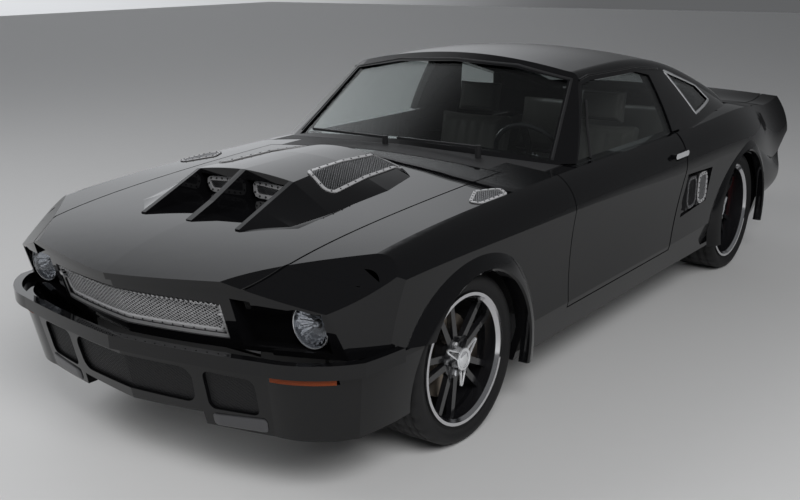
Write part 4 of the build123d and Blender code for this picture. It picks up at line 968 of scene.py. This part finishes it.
def build_plates():
    """Thin satin plates with chamfered rims, on the chin below the side ducts."""
    chin = [(0.345, 0.240), (0.345, 0.285), (0.555, 0.300), (0.550, 0.247)]
    start, toward = RAYS["front"]
    for side, flip in SIDES:
        outline = rounded([(flip * y, z) for y, z in chin], PLATE_CORNER, steps=8)
        middle = sum(outline, Vector((0, 0))) / len(outline)
        bm = bmesh.new()
        rings = []
        for share, rise in PLATE_RINGS:
            ring = []
            for point in outline:
                at, normal = hit("front_fascia", start(middle.lerp(point, share)), toward)
                ring.append(bm.verts.new(at + normal * PLATE_THICK * rise))
            rings.append(ring)
        for one, two in zip(rings, rings[1:]):
            skin(bm, one, two)
        cap_ends(bm, rings)
        piece("chin_plate_" + side, bm, [SATIN_PLATE], "body")


def dress_steering():
    """Bright spokes and a gloss black rim on the steering wheel."""
    low, high = (Vector(corner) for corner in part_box("steering_wheel"))
    middle = (low + high) / 2
    mesh = NODES["steering_wheel"].data
    mesh.materials.clear()
    mesh.materials.append(WHEEL_BLACK)
    mesh.materials.append(POLISHED)
    for polygon in mesh.polygons:
        polygon.material_index = 1 if (polygon.center - middle).length < STEERING_SPOKES else 0


def place_camera():
    """Camera with its lens and shifted middle, looking down at the front left corner."""
    data = bpy.data.cameras.new("camera")
    data.lens = LENS_MM
    data.sensor_width = SENSOR_MM
    data.sensor_fit = "HORIZONTAL"
    data.shift_x = SHIFT_X
    data.shift_y = SHIFT_Y
    data.clip_end = CAMERA_REACH
    ahead = Vector((
        math.cos(CAMERA_PITCH) * math.cos(CAMERA_YAW),
        math.cos(CAMERA_PITCH) * math.sin(CAMERA_YAW),
        math.sin(CAMERA_PITCH),
    ))
    level = ahead.cross(Vector((0, 0, 1))).normalized()
    lift = level.cross(ahead)
    right = math.cos(CAMERA_ROLL) * level + math.sin(CAMERA_ROLL) * lift
    up = right.cross(ahead)
    turn = Matrix((right, up, -ahead)).transposed().to_4x4()
    camera = bpy.data.objects.new("camera", data)
    camera.matrix_world = Matrix.Translation(CAMERA_AT) @ turn
    bpy.context.scene.collection.objects.link(camera)
    bpy.context.scene.camera = camera


def soft_light(name, at, power):
    """Rectangular soft box aimed at the car, hidden from its mirror reflections."""
    data = bpy.data.lights.new(name, "AREA")
    data.shape = "RECTANGLE"
    data.size, data.size_y = BOX_SIZE
    data.energy = power
    light = bpy.data.objects.new(name, data)
    aim = (Vector(BOX_AIM) - Vector(at)).to_track_quat("-Z", "Y")
    light.matrix_world = Matrix.Translation(at) @ aim.to_matrix().to_4x4()
    light.visible_glossy = False
    bpy.context.scene.collection.objects.link(light)


def build_stage():
    """Pale floor, a soft glow in the surroundings and the soft boxes."""
    mesh = bpy.data.meshes.new("floor")
    far = FLOOR_REACH
    mesh.from_pydata([(-far, -far, 0), (far, -far, 0), (far, far, 0), (-far, far, 0)], [], [(0, 1, 2, 3)])
    floor = bpy.data.objects.new("floor", mesh)
    mesh.materials.append(surface("pale_floor", FLOOR_GREY, 0.6, grain=8.0, bump=0.0, vary=0.01))
    bpy.context.scene.collection.objects.link(floor)
    world = bpy.data.worlds.new("studio")
    world.use_nodes = True
    tree = world.node_tree
    link = tree.links.new
    place = tree.nodes.new("ShaderNodeTexCoord")
    toward = tree.nodes.new("ShaderNodeVectorMath")
    toward.operation = "DOT_PRODUCT"
    toward.inputs[1].default_value = Vector(GLOW_TOWARD).normalized()
    link(place.outputs["Generated"], toward.inputs[0])
    glow = tree.nodes.new("ShaderNodeMapRange")
    glow.interpolation_type = "SMOOTHERSTEP"
    glow.inputs["From Min"].default_value = GLOW_EDGE
    glow.inputs["To Min"].default_value = SKY_LEVEL
    glow.inputs["To Max"].default_value = GLOW_LEVEL
    link(toward.outputs["Value"], glow.inputs["Value"])
    back = tree.nodes["Background"]
    back.inputs["Color"].default_value = GLOW_TINT
    link(glow.outputs["Result"], back.inputs["Strength"])
    bpy.context.scene.world = world
    for name, at, power in SOFT_BOXES:
        soft_light(name, at, power)


build_screens()
build_lamps()
for corner_wheel in WHEELS:
    build_tyre(corner_wheel)
    paint_wheel(corner_wheel)
    build_spinner(corner_wheel)
build_seats()
build_trim()
build_brakes()
build_plates()
dress_steering()
place_camera()
build_stage()
bpy.context.scene.view_settings.view_transform = "Standard"
